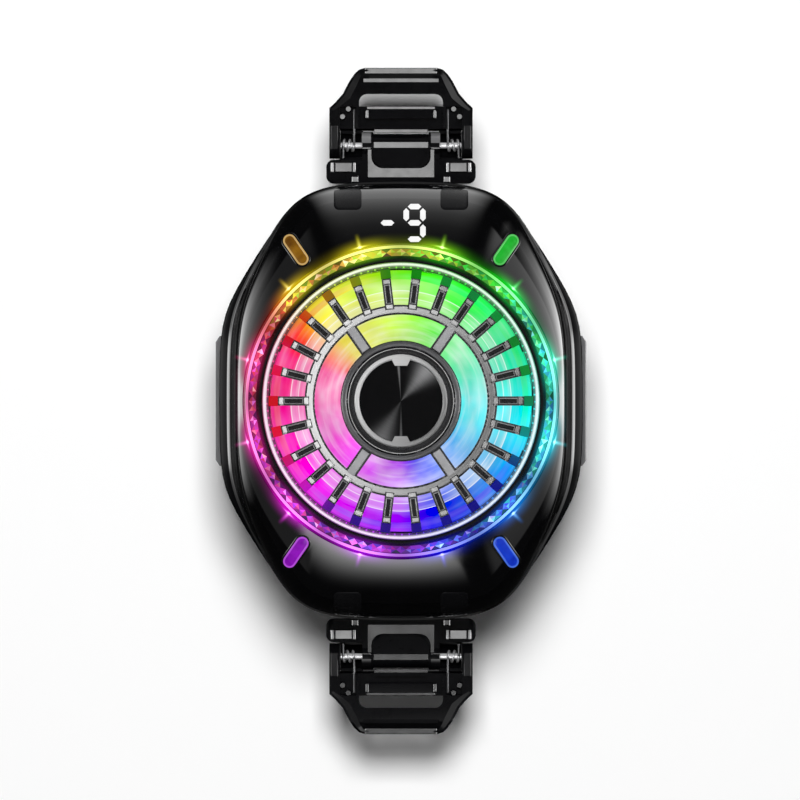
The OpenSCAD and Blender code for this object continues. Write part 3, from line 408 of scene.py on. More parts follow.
def warm_at_top(angle):
    """Shift round the wheel that draws the ring's upper end from green to yellow."""
    upper = calc("MAXIMUM", calc("SINE", angle), 0.0)
    return product(calc("POWER", upper, 4.0), -0.085)


def drawn_to_primary(angle):
    """Shift round the wheel that draws each colour towards the nearest of red, green and blue."""
    thrice = calc("MULTIPLY_ADD", angle, 3.0, math.radians(60))
    return product(calc("SINE", thrice), -0.046)


def near_primary(angle):
    """The same shift, half as far again."""
    return product(drawn_to_primary(angle), 1.5)


def bright_on_left(angle):
    """Level that is full on the left, where the tips are red, and dim on the other sides."""
    return remap(calc("COSINE", angle), -0.95, -0.4, 0.86, 0.52, smooth=True)


def cover_material():
    """Gloss black, with painted glow of the ring's light over the cover's rim, and a painted star glint at each lamp.
    """
    tree, bsdf = blank("gloss_black_painted_glow")
    angle, radius = place(tree)
    # painted glow of the ring's light over the cover's rim, brighter over each lamp
    near = calc("POWER", remap(radius, OPENING_R - 0.1, OPENING_R + 2.1, 1.0, 0.0), 2.6)
    painted_spill = product(near, remap(lamp_spots(angle, 1.5), 0.0, 1.0, 0.1, 0.7))
    # painted star glint at each lamp: a thin ray outwards and a short cross along the rim
    fade = calc("POWER", remap(radius, OPENING_R, OPENING_R + 2.6, 1.0, 0.0), 1.6)
    ray = product(lamp_spots(angle, 260.0), fade)
    off = calc("ABSOLUTE", calc("SUBTRACT", radius, OPENING_R + 0.2))
    cross = product(lamp_spots(angle, 18.0), remap(off, 0.0, 0.2, 1.0, 0.0))
    painted_star = total(ray, cross)
    colour = wheel(angle, remap(painted_star, 0.0, 1.0, 0.88, 0.4), 1.0, warm_at_top(angle))
    feed(bsdf, {"Base Color": tint(noise(tree, 120), (0.001, 0.0012), (0.002, 0.0024)),
                "Roughness": spread(noise(tree, 500), 0.05, 0.09), "IOR": 1.5,
                "Emission Color": colour, "Emission Strength": total(painted_spill, painted_star)})


def painted_glow_material(name, pale, strength, streaks):
    """Frosted plastic with the ring's light painted on as glow: pale in the middle, then terraces of fuller colour, and
    painted streaks of reflection round the axis."""
    tree, bsdf = blank(name)
    angle, radius = place(tree)
    share = remap(radius, *TERRACES)
    (a0, a1), (b0, b1), (c0, c1) = TERRACE_EDGES
    full = ramp(share, [(0.0, pale), (a0, pale), (a1, 0.95), (b0, 0.95),
                        (b1, 0.75), (c0, 0.75), (c1, 0.85), (1.0, 0.85)])
    patchy = spread(round_noise(angle, radius, 0.35, 2.2), -0.22, 0.22)
    shifted = ramp(share, [(0.0, 0), (b0, 0), (b1, 1), (c0, 1), (c1, 0.3)])
    patches = remap(round_noise(angle, radius, 0.25, 1.6), 0.35, 0.65, 0.88, 1.0)
    # the first terrace is paler over the upper half, and the middle disc is warmer there
    terrace = ramp(share, [(a0, 0), (a1, 1), (b0, 1), (b1, 0)])
    paler = remap(calc("SINE", angle), 0.0, 0.7, 0.03, 0.34)
    fullness = calc("SUBTRACT", total(full, patchy), product(terrace, paler))
    warm = product(warm_at_top(angle), remap(share, a0, a1, 0.5, 0.2))
    turned = calc("MULTIPLY_ADD", drawn_to_primary(angle), shifted, warm)
    colour = wheel(angle, fullness, patches, turned)
    # painted highlight arcs on the edges of the inner terraces, and fine painted reflection streaks
    painted_arcs = ramp(share, [(0.0, 0), (0.09, 0), (0.11, 0.7), (0.13, 0), (0.295, 0), (0.315, 0.8), (0.335, 0)])
    painted_streaks = remap(round_noise(angle, radius, 1.6, 1.3), 0.48, 0.72, 0.0, streaks)
    fade = remap(radius, 17.5, 18.5, 1.0, 0.2)
    white = calc("MAXIMUM", painted_arcs, product(painted_streaks, fade))
    feed(bsdf, {"Emission Color": blend_colour(white, colour, (1, 1, 1, 1)), "Emission Strength": strength,
                "Base Color": (0.02, 0.02, 0.02, 1), "Specular IOR Level": 0.1,
                "Roughness": spread(noise(tree, 900), 0.45, 0.6)})


def painted_line_metal(name, dark, light, glow):
    """Metal beside the light ring, with the ring's light painted on as glow in one fine line."""
    surface(name, dark, light, (0.35, 0.45), metallic=1.0)
    tree = LOOKS[name].node_tree
    angle, radius = place(tree)
    rise = remap(radius, *LINE_RISE, 0.3 * glow, glow)
    fall = remap(radius, *LINE_FALL, 1.0, 0.14)
    feed(tree.nodes["Principled BSDF"], {"Emission Color": wheel(angle, 0.16, 1.0),
                                         "Emission Strength": product(rise, fall)})


def ring_light(name, saturation, value, strength, between=0.6, facets=False, shift=None, rise=None):
    """Light guide: colour from the angle, with a shift round the wheel if given, and a painted glint from facet to
    facet where the mesh has them. Where a rise is given, the light comes up between its two radii."""
    tree, bsdf = blank(name)
    angle, radius = place(tree)
    spots = remap(lamp_spots(angle, 1.0), 0.0, 1.0, between, 1.0)
    if rise:
        spots = product(spots, remap(radius, *rise, smooth=True))
    turned = shift(angle) if shift else 0.0
    level = value(angle) if callable(value) else value
    lit = strength
    if facets:
        attribute = tree.nodes.new("ShaderNodeAttribute")
        attribute.attribute_name = "painted_glint"
        painted_glint = attribute.outputs["Fac"]
        flicker = remap(calc("FRACT", product(painted_glint, 7.0)), 0.0, 1.0, -0.07, 0.07)
        saturation = remap(painted_glint, 0.55, 1.0, saturation, 0.25)
        turned = total(flicker, turned)
        lit = remap(painted_glint, 0.0, 1.0, 0.06 * strength, strength)
    feed(bsdf, {"Emission Color": wheel(angle, saturation, level, turned),
                "Emission Strength": product(spots, lit),
                "Base Color": (0.003, 0.003, 0.003, 1), "Specular IOR Level": 0.1,
                "Roughness": spread(noise(tree, 700), 0.2, 0.3)})


def lamp_material(name, dark, light):
    """Lit lens or window: one colour with soft drift."""
    tree, bsdf = blank(name)
    feed(bsdf, {"Emission Color": tint(noise(tree, 420, detail=2), dark, light), "Emission Strength": 1.0,
                "Base Color": (0.004, 0.004, 0.004, 1), "Specular IOR Level": 0.1,
                "Roughness": spread(noise(tree, 600), 0.08, 0.16)})


def spun_material():
    """Lacquered disc turned on a lathe: painted highlights as pale wedges from the middle, and fine rings."""
    tree, bsdf = blank("spun_black")
    angle, radius = place(tree)
    painted_wedges = 0.0
    for faces, sharpness, share in ((50, 70.0, 0.9), (242, 80.0, 0.4), (94, 4000.0, 0.7), (270, 4000.0, 0.4)):
        painted_wedges = calc("MULTIPLY_ADD", peak(facing(angle, faces), sharpness), share, painted_wedges)
    rings = round_noise(angle, radius, 14.0, 0.3, detail=3.0)
    outward = remap(radius, 1.5, 6.5, 0.3, 1.0)
    # painted highlight: the wedges, brighter outwards, broken by the turned rings
    shade = product(painted_wedges, outward, spread(rings, 0.75, 1.0))
    feed(bsdf, {"Base Color": ramp(shade, [(0.0, (0.001, 0.0012)), (1.0, (0.3, 0.305))]),
                "Roughness": spread(rings, 0.28, 0.36), "Specular IOR Level": 0.06,
                "Normal": relief(rings, 0.2, 0.00002)})


def painted_sheen_material(name, faces, dark, light):
    """Brushed ring with painted sheen, brighter on the side that faces the angle given."""
    tree, bsdf = blank(name)
    angle, radius = place(tree)
    brushed = spread(round_noise(angle, radius, 20.0, 0.6), -0.08, 0.08)
    painted_tone = total(remap(facing(angle, faces), -1.0, 1.0), brushed)
    feed(bsdf, {"Base Color": ramp(painted_tone, [(0.0, dark), (1.0, light)]),
                "Roughness": remap(brushed, -0.08, 0.08, 0.38, 0.5)})


def trim_material():
    """Dark ring with one fine painted highlight line round it."""
    tree, bsdf = blank("trim_painted_highlight")
    angle, radius = place(tree)
    off = calc("ABSOLUTE", calc("SUBTRACT", radius, TRIM_HIGHLIGHT_R))
    line = remap(off, 0.1, 0.17, 1.0, 0.0)
    wear_and_sheen = spread(round_noise(angle, radius, 2.0, 1.5), 0.75, 1.0)
    painted_tone = product(line, wear_and_sheen)
    feed(bsdf, {"Base Color": ramp(painted_tone, [(0.0, (0.006, 0.0065)), (1.0, 0.6)]),
                "Roughness": remap(wear_and_sheen, 0.75, 1.0, 0.35, 0.45), "Specular IOR Level": 0.2})


def dash_material():
    """Short lit and dark dashes round the inner edge of the bright ring."""
    tree, bsdf = blank("dash_ring")
    angle, radius = place(tree)
    dark = spread(round_noise(angle, radius, 0.0, 2.0), 0.65, 0.9)
    phase = calc("FRACT", product(angle, DASHES / math.tau))
    lit = calc("GREATER_THAN", phase, dark)
    feed(bsdf, {"Emission Color": wheel(angle, 0.75, 1.0),
                "Emission Strength": remap(lit, 0.0, 1.0, 0.2, 0.75),
                "Base Color": (0.01, 0.01, 0.01, 1), "Roughness": 0.3})


JET = (0.0015, 0.0018), (0.003, 0.0035)

cover_material()
surface("gloss_black_frame", *JET, (0.07, 0.12), 400, specular=0.02)
surface("satin_black", (0.008, 0.009), (0.014, 0.015), (0.34, 0.46), bump=0.25)
surface("clip_black", *JET, (0.26, 0.34), 700, bump=0.05, specular=0.05)
# slightly lighter black for the jaws' side panels and bosses: painted soft reflection
surface("clip_panel_sheen", (0.008, 0.0085), (0.012, 0.0125), (0.3, 0.4), 700, bump=0.05, specular=0.15)
surface("polished_black", *JET, (0.05, 0.07), 500)
surface("polished_low", *JET, (0.1, 0.12), 500)
# grey copies of the clip's black for the feet's ends and the top knuckle's band: painted highlights
surface("painted_highlight_grey", (0.3, 0.305), (0.4, 0.405), (0.08, 0.12), 500)
surface("sleeve_painted_highlight", (0.12, 0.123), (0.16, 0.164), (0.2, 0.28), 600)
# lighter grey on the key and the port surround that stands in for their highlights: painted sheen
surface("trim_grey", (0.13, 0.134), (0.17, 0.174), (0.14, 0.2), 600, specular=0.3)
surface("grille_dark", (0.008, 0.009), (0.016, 0.018), (0.25, 0.35))
surface("grille_grey", (0.26, 0.27), (0.34, 0.35), (0.3, 0.4), bump=0.1)
surface("hub_grey", (0.045, 0.048), (0.065, 0.068), (0.28, 0.36), bump=0.1)
surface("bar_dark", (0.005, 0.0055), (0.01, 0.011), (0.2, 0.3), specular=0.2)
surface("bar_edge", (0.16, 0.165), (0.24, 0.245), (0.3, 0.4))
surface("silicone", (0.012, 0.013), (0.022, 0.024), (0.6, 0.75), bump=0.4)
surface("chrome", (0.7, 0.71), (0.8, 0.81), (0.18, 0.26), 500, metallic=0.45)
surface("spring_steel", (0.4, 0.41), (0.55, 0.56), (0.2, 0.3), 700, metallic=0.6)
# darker copy of the spring steel for the legs: painted shade
surface("leg_painted_shade", (0.05, 0.052), (0.08, 0.083), (0.35, 0.45), 700, metallic=0.5)
surface("steel", (0.58, 0.6), (0.68, 0.7), (0.16, 0.26), 700, metallic=1.0)
surface("dark_steel", (0.09, 0.095), (0.15, 0.155), (0.3, 0.42), 700, metallic=1.0)
surface("aluminium", (0.6, 0.62), (0.7, 0.72), (0.26, 0.36), 800, bump=0.15, metallic=1.0)
surface("bronze", (0.5, 0.34, 0.15), (0.62, 0.44, 0.2), (0.3, 0.4), 800, metallic=1.0)
surface("copper", (0.55, 0.24, 0.1), (0.7, 0.34, 0.16), (0.25, 0.35), metallic=1.0)
surface("magnet_grey", (0.07, 0.075), (0.12, 0.125), (0.5, 0.6), bump=0.2)
surface("white_ceramic", (0.7, 0.67), (0.8, 0.77), (0.35, 0.45), bump=0.1)
surface("board_green", (0.012, 0.075, 0.03), (0.02, 0.11, 0.045), (0.3, 0.42), bump=0.1)
surface("chip_black", 0.018, 0.03, (0.5, 0.6), bump=0.2)
lamp_material("led_white", (0.75, 0.65), (0.95, 0.88))
lamp_material("display_white", 0.9, 1.0)
# impeller, fan frame and heatsink glow with painted light from the ring; they are no lamps
painted_glow_material("frosted_painted_glow", 0.5, 1.0, 0.24)
painted_glow_material("fin_painted_glow", 0.6, 0.75, 0.2)
ring_light("ring_rim", 0.5, 1.0, 1.7, 0.42, shift=warm_at_top)
ring_light("ring_facets", 0.72, 1.0, 2.1, 0.4, facets=True, shift=warm_at_top)
ring_light("ring_wall", 1.0, 0.6, 0.6)
ring_light("ring_slope", 0.95, 0.9, 0.8, 0.3, shift=warm_at_top)
ring_light("spoke_tint", 1.0, bright_on_left, 1.0, 0.8, shift=near_primary)
# painted glow of the ring's light in the dark channel, rising towards the ring
ring_light("channel_painted_spill", 0.98, 1.0, 0.3, 0.12, rise=CHANNEL_RISE)
painted_line_metal("metal_painted_line", 0.14, 0.2, 0.85)
dash_material()
surface("channel_black", (0.003, 0.0035), (0.005, 0.006), (0.12, 0.2), 500, specular=0.2)
# black of the painted reflection patches on the cover
surface("reflection_black", (0.003, 0.0035), (0.005, 0.0055), (0.2, 0.3), 600, specular=0.08)
spun_material()
# turned rings and studs with painted sheen, brighter towards one side
painted_sheen_material("bezel_silver", 150, 0.15, 0.55)
painted_sheen_material("grille_bright", 170, 0.13, 0.66)
painted_sheen_material("stud_bright", 170, 0.3, 0.75)
painted_sheen_material("stud_outer", 190, 0.17, 0.64)
trim_material()

# ---- front cover ----

AROUND, DOME_STEPS, UNDER_STEPS = 288, 36, 10
RIM_ROUND, WALL_SHARES = 0.12, (0.12, 0.5, 0.94)
# Narrow lip along the seam, whose slope catches the light as a fine line: steps out and up from the seam
SEAM_LIP = [(0.03, 0.2), (0.32, 0.08), (0.32, -0.06), (-WALL, -0.06), (-WALL, 0.0)]


def cover_profile(a):
    """Closed profile of the cover in one direction: up the bore, over the dome, down the wall and back inside."""
    inner = OPENING_R - DOME_INSET
    start = math.asin((OPENING_R + RIM_ROUND - inner) / (cover_r(a) - inner))
    rim = dome_point(a, start)
    profile = [(OPENING_R, Z_RIM - WALL + 0.1), (OPENING_R, rim[1] - 0.16), (OPENING_R + 0.03, rim[1] - 0.06)]
    profile += [dome_point(a, start + (math.pi / 2 - start) * (k / DOME_STEPS)) for k in range(DOME_STEPS + 1)]
    edge, foot = profile[-1], (seam_r(a), Z_SEAM)
    profile += [(edge[0] + (foot[0] - edge[0]) * t, edge[1] + (foot[1] - edge[1]) * t) for t in WALL_SHARES]
    profile += [(foot[0] + dr, foot[1] + dz) for dr, dz in SEAM_LIP]
    within = [dome_point(a, math.pi / 2 * (1 - k / UNDER_STEPS), WALL) for k in range(UNDER_STEPS + 1)]
    return profile + [(max(r, OPENING_R), z) for r, z in within]


def front_cover():
    turns = angles(AROUND)
    profiles = [cover_profile(a) for a in turns]
    rings = len(profiles[0])
    points = [polar(profile[j][0], a, profile[j][1]) for j in range(rings) for a, profile in zip(turns, profiles)]
    piece("cover_shell", points, hoop_faces(rings, AROUND), ["gloss_black_painted_glow"], slot="gloss_black",
          stands_for=["front_cover"], sharp=25)


front_cover()

# ---- corner lenses and display ----

# Steps inwards and up over a lens, of which some are its rim, then outwards and up over its dark seat
LENS_STEPS = [(0.0, -1.2), (0.0, 0.02), (0.08, 0.1), (0.2, 0.1), (0.28, 0.05), (0.5, 0.09), (0.75, 0.11),
              (LENS_W / 2 - 0.01, 0.12)]
RIM_STEPS = (1, 2, 3)
SEAT_STEPS = [(0.0, 0.0), (0.04, 0.06), (0.22, 0.08), (0.32, 0.0), (0.32, -0.4), (0.0, -0.4)]
# Steps inwards and up over a painted reflection patch and over a segment of the display
PATCH_STEPS = [(0.0, -0.3), (0.0, 0.04), (0.1, 0.09), (0.45, 0.09), (0.9, 0.09), (1.35, 0.09), (1.75, 0.09)]
SEGMENT_STEPS = [(0.0, -0.4), (0.0, 0.03), (0.06, 0.06)]


def pill(half_l, radius, steps=12, sides=12):
    """Outline with round ends along X, and points along its straight sides too."""
    straight = half_l - radius
    right = [(straight + radius * math.cos(t), radius * math.sin(t)) for t in
             (math.pi * (k / steps - 0.5) for k in range(steps + 1))]
    top = [(straight * (1 - 2 * k / sides), radius) for k in range(1, sides)]
    half = right + top
    return half + [(-x, -y) for x, y in half]


def over_dome(outline, angle, rise):
    """Points of a flat outline about a lens's middle, laid over the cover."""
    laid = [turn((LENS_AT_R + x, y, 0), angle) for x, y in outline]
    return [(x, y, dome_z(x, y) + rise) for x, y, _ in laid]


def corner_lens(colour, sx, sy):
    angle = math.atan2(sy * math.sin(math.radians(LENS_ANGLE)), sx * math.cos(math.radians(LENS_ANGLE)))
    points = [p for cut, rise in LENS_STEPS for p in over_dome(pill(LENS_L / 2 - cut, LENS_W / 2 - cut), angle, rise)]
    m = len(LENS_STEPS)
    n = len(points) // m
    faces = hoop_faces(m, n, False)
    slots = [1 if k // n in RIM_STEPS else 0 for k in range(len(faces))]
    faces += [tuple(range((m - 1) * n, m * n)), tuple(range(n - 1, -1, -1))]
    slots += [0, 0]
    piece(colour + "_light", points, faces, ["lens_" + colour, "lens_rim_" + colour], slot="lens_" + colour,
          stands_for=[colour + "_lens"], face_slots=slots)
    seat = [p for grow, rise in SEAT_STEPS
            for p in over_dome(pill(LENS_L / 2 + grow, LENS_W / 2 + grow), angle, rise)]
    piece(colour + "_lens_seat", seat, hoop_faces(len(SEAT_STEPS), n), ["channel_black"], slot="gloss_black")


for colour, sx, sy, field_dark, field_light, rim_colour in (
        ("amber", -1, 1, (0.11, 0.04, 0.001), (0.27, 0.12, 0.004), (0.62, 0.4, 0.14)),
        ("green", 1, 1, (0.005, 0.3, 0.012), (0.02, 0.55, 0.04), (0.1, 0.62, 0.12)),
        ("violet", -1, -1, (0.17, 0.002, 0.32), (0.32, 0.008, 0.55), (0.5, 0.08, 0.75)),
        ("blue", 1, -1, (0.002, 0.016, 0.36), (0.008, 0.05, 0.62), (0.06, 0.16, 0.75))):
    lamp_material("lens_" + colour, field_dark, field_light)
    lamp_material("lens_rim_" + colour, tuple(c * 0.8 for c in rim_colour), rim_colour)
    corner_lens(colour, sx, sy)


def rounded(half_x, half_y, corner, steps=6, sides=10):
    """Rectangle with round corners, and points along its sides too."""
    quarters = []
    for first, (qx, qy) in enumerate(((1, 1), (-1, 1), (-1, -1), (1, -1))):
        turns = [math.pi / 2 * (first + k / steps) for k in range(steps + 1)]
        quarters.append([(qx * (half_x - corner) + corner * math.cos(t), qy * (half_y - corner) + corner * math.sin(t))
                         for t in turns])
    outline = []
    for arc, following in zip(quarters, quarters[1:] + quarters[:1]):
        (x0, y0), (x1, y1) = arc[-1], following[0]
        outline += arc + [(x0 + (x1 - x0) * k / sides, y0 + (y1 - y0) * k / sides) for k in range(1, sides)]
    return outline


def reflection_patch(sx, sy):
    """Dark patch with round corners over the cover's end, beside the arm's root: a painted reflection of the clip's
    feet.
    """
    near, far, low, high, corner, margin = 6.4, 10.9, 31.0, 34.6, 0.8, 0.5
    points = []
    for cut, rise in PATCH_STEPS:
        for x, y in rounded((far - near) / 2 - cut, (high - low) / 2 - cut, max(corner - cut, 0.04)):
            x, y = sx * ((near + far) / 2 + x), sy * ((low + high) / 2 + y)
            within = min(1, (cover_r(math.atan2(y, x)) - margin - cut) / math.hypot(x, y))
            x, y = x * within, y * within
            points.append((x, y, dome_z(x, y) + rise))
    return points, capped_faces(len(PATCH_STEPS), len(points) // len(PATCH_STEPS))


# dark patches on the cover for the reflection of the clips' feet: painted reflection
reflection_patches = Pile()
for sx, sy in ((-1, 1), (1, 1), (-1, -1), (1, -1)):
    reflection_patches.add(reflection_patch(sx, sy))
reflection_patches.make("cover_painted_reflections", ["reflection_black"], slot="gloss_black")


def segment(length):
    half = SEGMENT_T / 2
    return [(-length / 2, 0), (half - length / 2, -half), (length / 2 - half, -half),
            (length / 2, 0), (length / 2 - half, half), (half - length / 2, half)]


def display():
    across = DIGIT_W - SEGMENT_T - 2 * SEGMENT_GAP
    rise = (DIGIT_H - SEGMENT_T) / 2
    upright = rise - 2 * SEGMENT_GAP
    side = (DIGIT_W - SEGMENT_T) / 2
    places = [(SIGN_X, DIGIT_Y, across, False)]
    places += [(DIGIT_X, DIGIT_Y + k * rise, across, False) for k in (-1, 0, 1)]
    places += [(DIGIT_X + sx * side, DIGIT_Y + sy * rise / 2, upright, True) for sx, sy in ((-1, 1), (1, 1), (1, -1))]
    pile = Pile()
    for x, y, length, upended in places:
        outline = [(x - q if upended else x + p, y + p if upended else y + q) for p, q in segment(length)]
        rings = []
        for cut, up in SEGMENT_STEPS:
            rings += [(px, py, dome_z(px, py) + up) for px, py in inset(outline, cut)]
        pile.add((rings, capped_faces(len(SEGMENT_STEPS), len(outline))))
    pile.make("display_digit", ["display_white"], slot="display_white", stands_for=["display_segments"], sharp=30)


display()

# ---- light ring ----

# Steps inwards and down over the rim, width of its foot, and the material of each step: wall, rim or slope
RIM_TOP, RIM_FOOT = [(RIM_W, 0.6), (0.75, 0.1), (0.68, 0.0), (0.4, 0.0), (0.3, 0.08), (0.0, 0.35)], 0.5
RIM_SLOTS = [0, 1, 1, 1, 2, 0, 0, 0, 0, 0]


def light_ring():
    draw = random.Random(7)
    top = Z_LIGHT_TOP
    rim = [(LIGHT_OUT - cut, top - drop) for cut, drop in RIM_TOP]
    rim += [(LIGHT_OUT, Z_LED), (LIGHT_OUT - RIM_FOOT, Z_LED), (LIGHT_OUT - RIM_FOOT, Z_LIGHT), (rim[0][0], Z_LIGHT)]
    points, faces = lathe(rim, AROUND)
    slots = [RIM_SLOTS[k // AROUND] for k in range(len(faces))]
    piece("ring_guide", points, faces, ["ring_wall", "ring_rim", "ring_slope"], slot="light_guide",
          stands_for=["light_ring"], face_slots=slots)
    # band of cut gems inside the rim: raised diamonds, corner to corner, with low facets between them, each with a
    # painted glint
    r0, r1, low = LIGHT_R + 0.01, LIGHT_OUT - RIM_W, top - GEM_DROP
    middle = (r0 + r1) / 2
    rows = [(r0, Z_LIGHT, 0.0), (r0, low, 0.0), (middle, low + GEM_CORNER_H, 0.5),
            (middle, low + GEM_PEAK_H, 0.0), (r1, low, 0.0), (r1, Z_LIGHT, 0.0)]
    points = [polar(r, math.tau * (i + half) / GEMS, z) for r, z, half in rows for i in range(GEMS)]
    foot, inner, corner, tip, outer, base = (k * GEMS for k in range(len(rows)))
    faces, painted_glint = [], []
    for i in range(GEMS):
        j, h = (i + 1) % GEMS, (i - 1) % GEMS
        shine = 0.6 + 0.4 * draw.random()
        cut = [(inner + i, corner + i, tip + i), (corner + i, outer + i, tip + i),
               (outer + i, corner + h, tip + i), (corner + h, inner + i, tip + i)]
        gaps = [(inner + i, inner + j, corner + i), (outer + j, outer + i, corner + i)]
        walls = [(foot + i, foot + j, inner + j, inner + i), (outer + i, outer + j, base + j, base + i),
                 (base + i, base + j, foot + j, foot + i)]
        faces += cut + gaps + walls
        painted_glint += [shine * (0.35 + 0.65 * draw.random()) for _ in cut]
        painted_glint += [0.4 * draw.random() for _ in gaps] + [0.0] * len(walls)
    gems = piece("ring_gems", points, faces, ["ring_facets"], slot="light_guide", sharp=0)
    gems.data.attributes.new("painted_glint", "FLOAT", "FACE").data.foreach_set("value", painted_glint)


light_ring()

# ---- grille: dark base from the CAD, grey caps, studs, bars and tinted ends on top ----


def ring_cap(r0, r1, low):
    """Flat ring with chamfered upper edges."""
    edge, top = low + CAP_EDGE_H, low + CAP_H
    return lathe([(r0, low), (r0, edge), (r0 + CAP_BEVEL, top), (r1 - CAP_BEVEL, top), (r1, edge), (r1, low)])


def grille_caps():
    caps, studs, bars, tips = Pile(), Pile(), Pile(), Pile()
    low = GRILLE_TOP - SINK
    caps.add(ring_cap(*CAP_RING, low))
    for s in (1, -1):
        for a in (LENS_ANGLE, 180 - LENS_ANGLE):
            caps.add(prism(rectangle(*THICK_BAR), low, low + 0.15, 0.1), math.radians(s * a), 1)
    caps.make("grille_caps", ["grille_bright", "grille_grey"], slot="grille_grey")
    piece("hub_ring_cap", *ring_cap(*HUB_RING, HUB_TOP - SINK), ["hub_grey"], slot="grille_grey")
    top = GRILLE_TOP + STUD_Z
    for a in angles(SPOKES):
        for finish, r in enumerate(STUDS_AT):
            studs.add(prism(rectangle(r, r + STUD_L, STUD_HALF), top - SINK, top + 0.12, 0.1), a, finish)
        bars.add(prism(rectangle(*SPOKE_BAR), low, GRILLE_TOP + 0.16, 0.12), a, 0)
        bars.add(prism(rectangle(*BAR_FACE), GRILLE_TOP + 0.1, GRILLE_TOP + 0.26, 0.08), a, 1)
        tips.add(prism(rectangle(*SPOKE_TIP), GRILLE_TOP - 0.4, GRILLE_TOP + 0.14, 0.12), a)
    studs.make("spoke_studs", ["stud_bright", "stud_outer"], slot="grille_grey")
    bars.make("spoke_bars", ["bar_edge", "bar_dark"], slot="grille_grey")
    tips.make("spoke_tips", ["spoke_tint"], slot="light_guide")
    hoop = Z_FAN_TOP + DASH_Z
    dashes = lathe([(DASH_IN, hoop - SINK), (DASH_IN, hoop + DASH_H), (DASH_OUT, hoop + DASH_H),
                    (DASH_OUT, hoop - SINK)], AROUND)
    piece("dash_band", *dashes, ["dash_ring"], slot="light_guide")


grille_caps()

# ---- torsion springs ----


LEG_STEPS, TURN_STEPS, SHORT_LEG_STEPS, TUBE_SIDES = 9, 24, 5, 10
COIL_STEPS = SPRING_TURNS * TURN_STEPS
LEG_START = 0.35


def spring_path():
    """Long leg on the arm, the turns round the pin, and the short leg on the jaw."""
    path = [(SPRING_START, LEG_OUT - k * (LEG_OUT - LEG_START) / (LEG_STEPS - 1), SPRING_R) for k in range(LEG_STEPS)]
    for k in range(COIL_STEPS + 1):
        a = math.pi / 2 + math.tau * k / TURN_STEPS
        path.append((SPRING_START + SPRING_PITCH * k / TURN_STEPS, SPRING_R * math.cos(a), SPRING_R * math.sin(a)))
    end = path[-1][0]
    reach = (LEG_IN - LEG_START) / SHORT_LEG_STEPS
    return path + [(end, -LEG_START - k * reach, SPRING_R) for k in range(SHORT_LEG_STEPS + 1)]


def tube(path, radius):
    points, up = [], Vector((0, 0, 1))
    line = [Vector(p) for p in path]
    for i, p in enumerate(line):
        along = (line[min(i + 1, len(line) - 1)] - line[max(i - 1, 0)]).normalized()
        up = (up - along * up.dot(along)).normalized()
        across = along.cross(up)
        points += [tuple(p + radius * (math.cos(t) * up + math.sin(t) * across)) for t in angles(TUBE_SIDES)]
    return points, capped_faces(len(line), TUBE_SIDES)


def springs():
    for body, flip in (("top_jaw", 1), ("bottom_jaw", -1)):
        for side, name in ((1, "right"), (-1, "left")):
            points, faces = tube(spring_path(), WIRE_D / 2)
            points = [(side * x, flip * (HINGE_Y + y), PIN_Z + z) for x, y, z in points]
            # the legs take the darker copy of the steel: painted shade
            legs = [0 if LEG_STEPS <= k // TUBE_SIDES < LEG_STEPS + COIL_STEPS else 1 for k in range(len(faces))]
            made = piece(body.replace("jaw", "spring_") + name, points, faces, ["spring_steel", "leg_painted_shade"], body=None,
                         slot="steel", stands_for=[body.replace("jaw", "springs")], sharp=60, face_slots=legs)
            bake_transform(made)


springs()

# ---- polished facets of the clips ----

SLAB_EDGE, STUD_EDGE = 0.08, 0.15
# Places on an arm and a jaw: across from the middle, along from the hinge, and up from the cold plate
PLATE_Y, PLATE_Z, KNUCKLE_X = (-4.35, -2.87), (5.4, 5.58), (4.9, 6.4)
PLATE_X, PLATE_EDGES_X = (8.0, 10.75), ((7.4, 7.85), (10.95, 11.45))
JAW_STUDS, FLANK_FOOT_Z, FLANK_Z, RIDGE_Z = ((9.55, 4.7), (8.6, 5.95)), 4.5, (5.02, 5.3), (4.7, 5.04)


def slab(x0, x1, y0, y1, z0, z1):
    """Low block with chamfered upper edges, at a place counted from the hinge."""
    edge = min(SLAB_EDGE, (z1 - z0) / 2)
    return prism(corners(x0, x1, HINGE_Y + y0, HINGE_Y + y1), z0, z1, edge)


def stud(x, y, radius, z0, z1, n=16):
    """Short round boss at a place counted from the hinge."""
    outline = [(x + radius * math.cos(t), HINGE_Y + y + radius * math.sin(t)) for t in angles(n)]
    return prism(outline, z0, z1, STUD_EDGE)


def tongue_surround(z0, z1):
    """Flat frame round the raised tab on the arm, open towards the hinge."""
    half, low, high, tab_half, tab_low, tab_round = 5.4, -5.2, -0.7, 4.85, -3.75, 1.9
    arc = [(tab_half - tab_round * (1 - math.cos(t)), tab_low + tab_round * (1 - math.sin(t))) for t in
           (math.pi / 2 * k / 8 for k in range(9))]
    side = [(tab_half, high)] + arc + [(0.0, tab_low)]
    out = [(half, high)] + [(half, tab_low + tab_round + (low - tab_low - tab_round) * min(1, k / 5)) for k in range(6)]
    out += [(half - (half - arc[-1][0]) * k / 3, low) for k in range(1, 4)] + [(0.0, low)]
    inner, outer = (half_way + [(-x, y) for x, y in reversed(half_way[:-1])] for half_way in (side, out))
    n = len(inner)
    points = [(x, HINGE_Y + y, z) for z in (z0, z1) for ring in (inner, outer) for x, y in ring]
    faces = []
    for a in range(n - 1):
        b = a + 1
        faces += [(2 * n + a, 2 * n + b, 3 * n + b, 3 * n + a), (a, n + a, n + b, b),
                  (a, b, 2 * n + b, 2 * n + a), (n + b, n + a, 3 * n + a, 3 * n + b)]
    faces += [(0, n, 3 * n, 2 * n), (n - 1, 2 * n - 1, 4 * n - 1, 3 * n - 1)]
    return points, faces


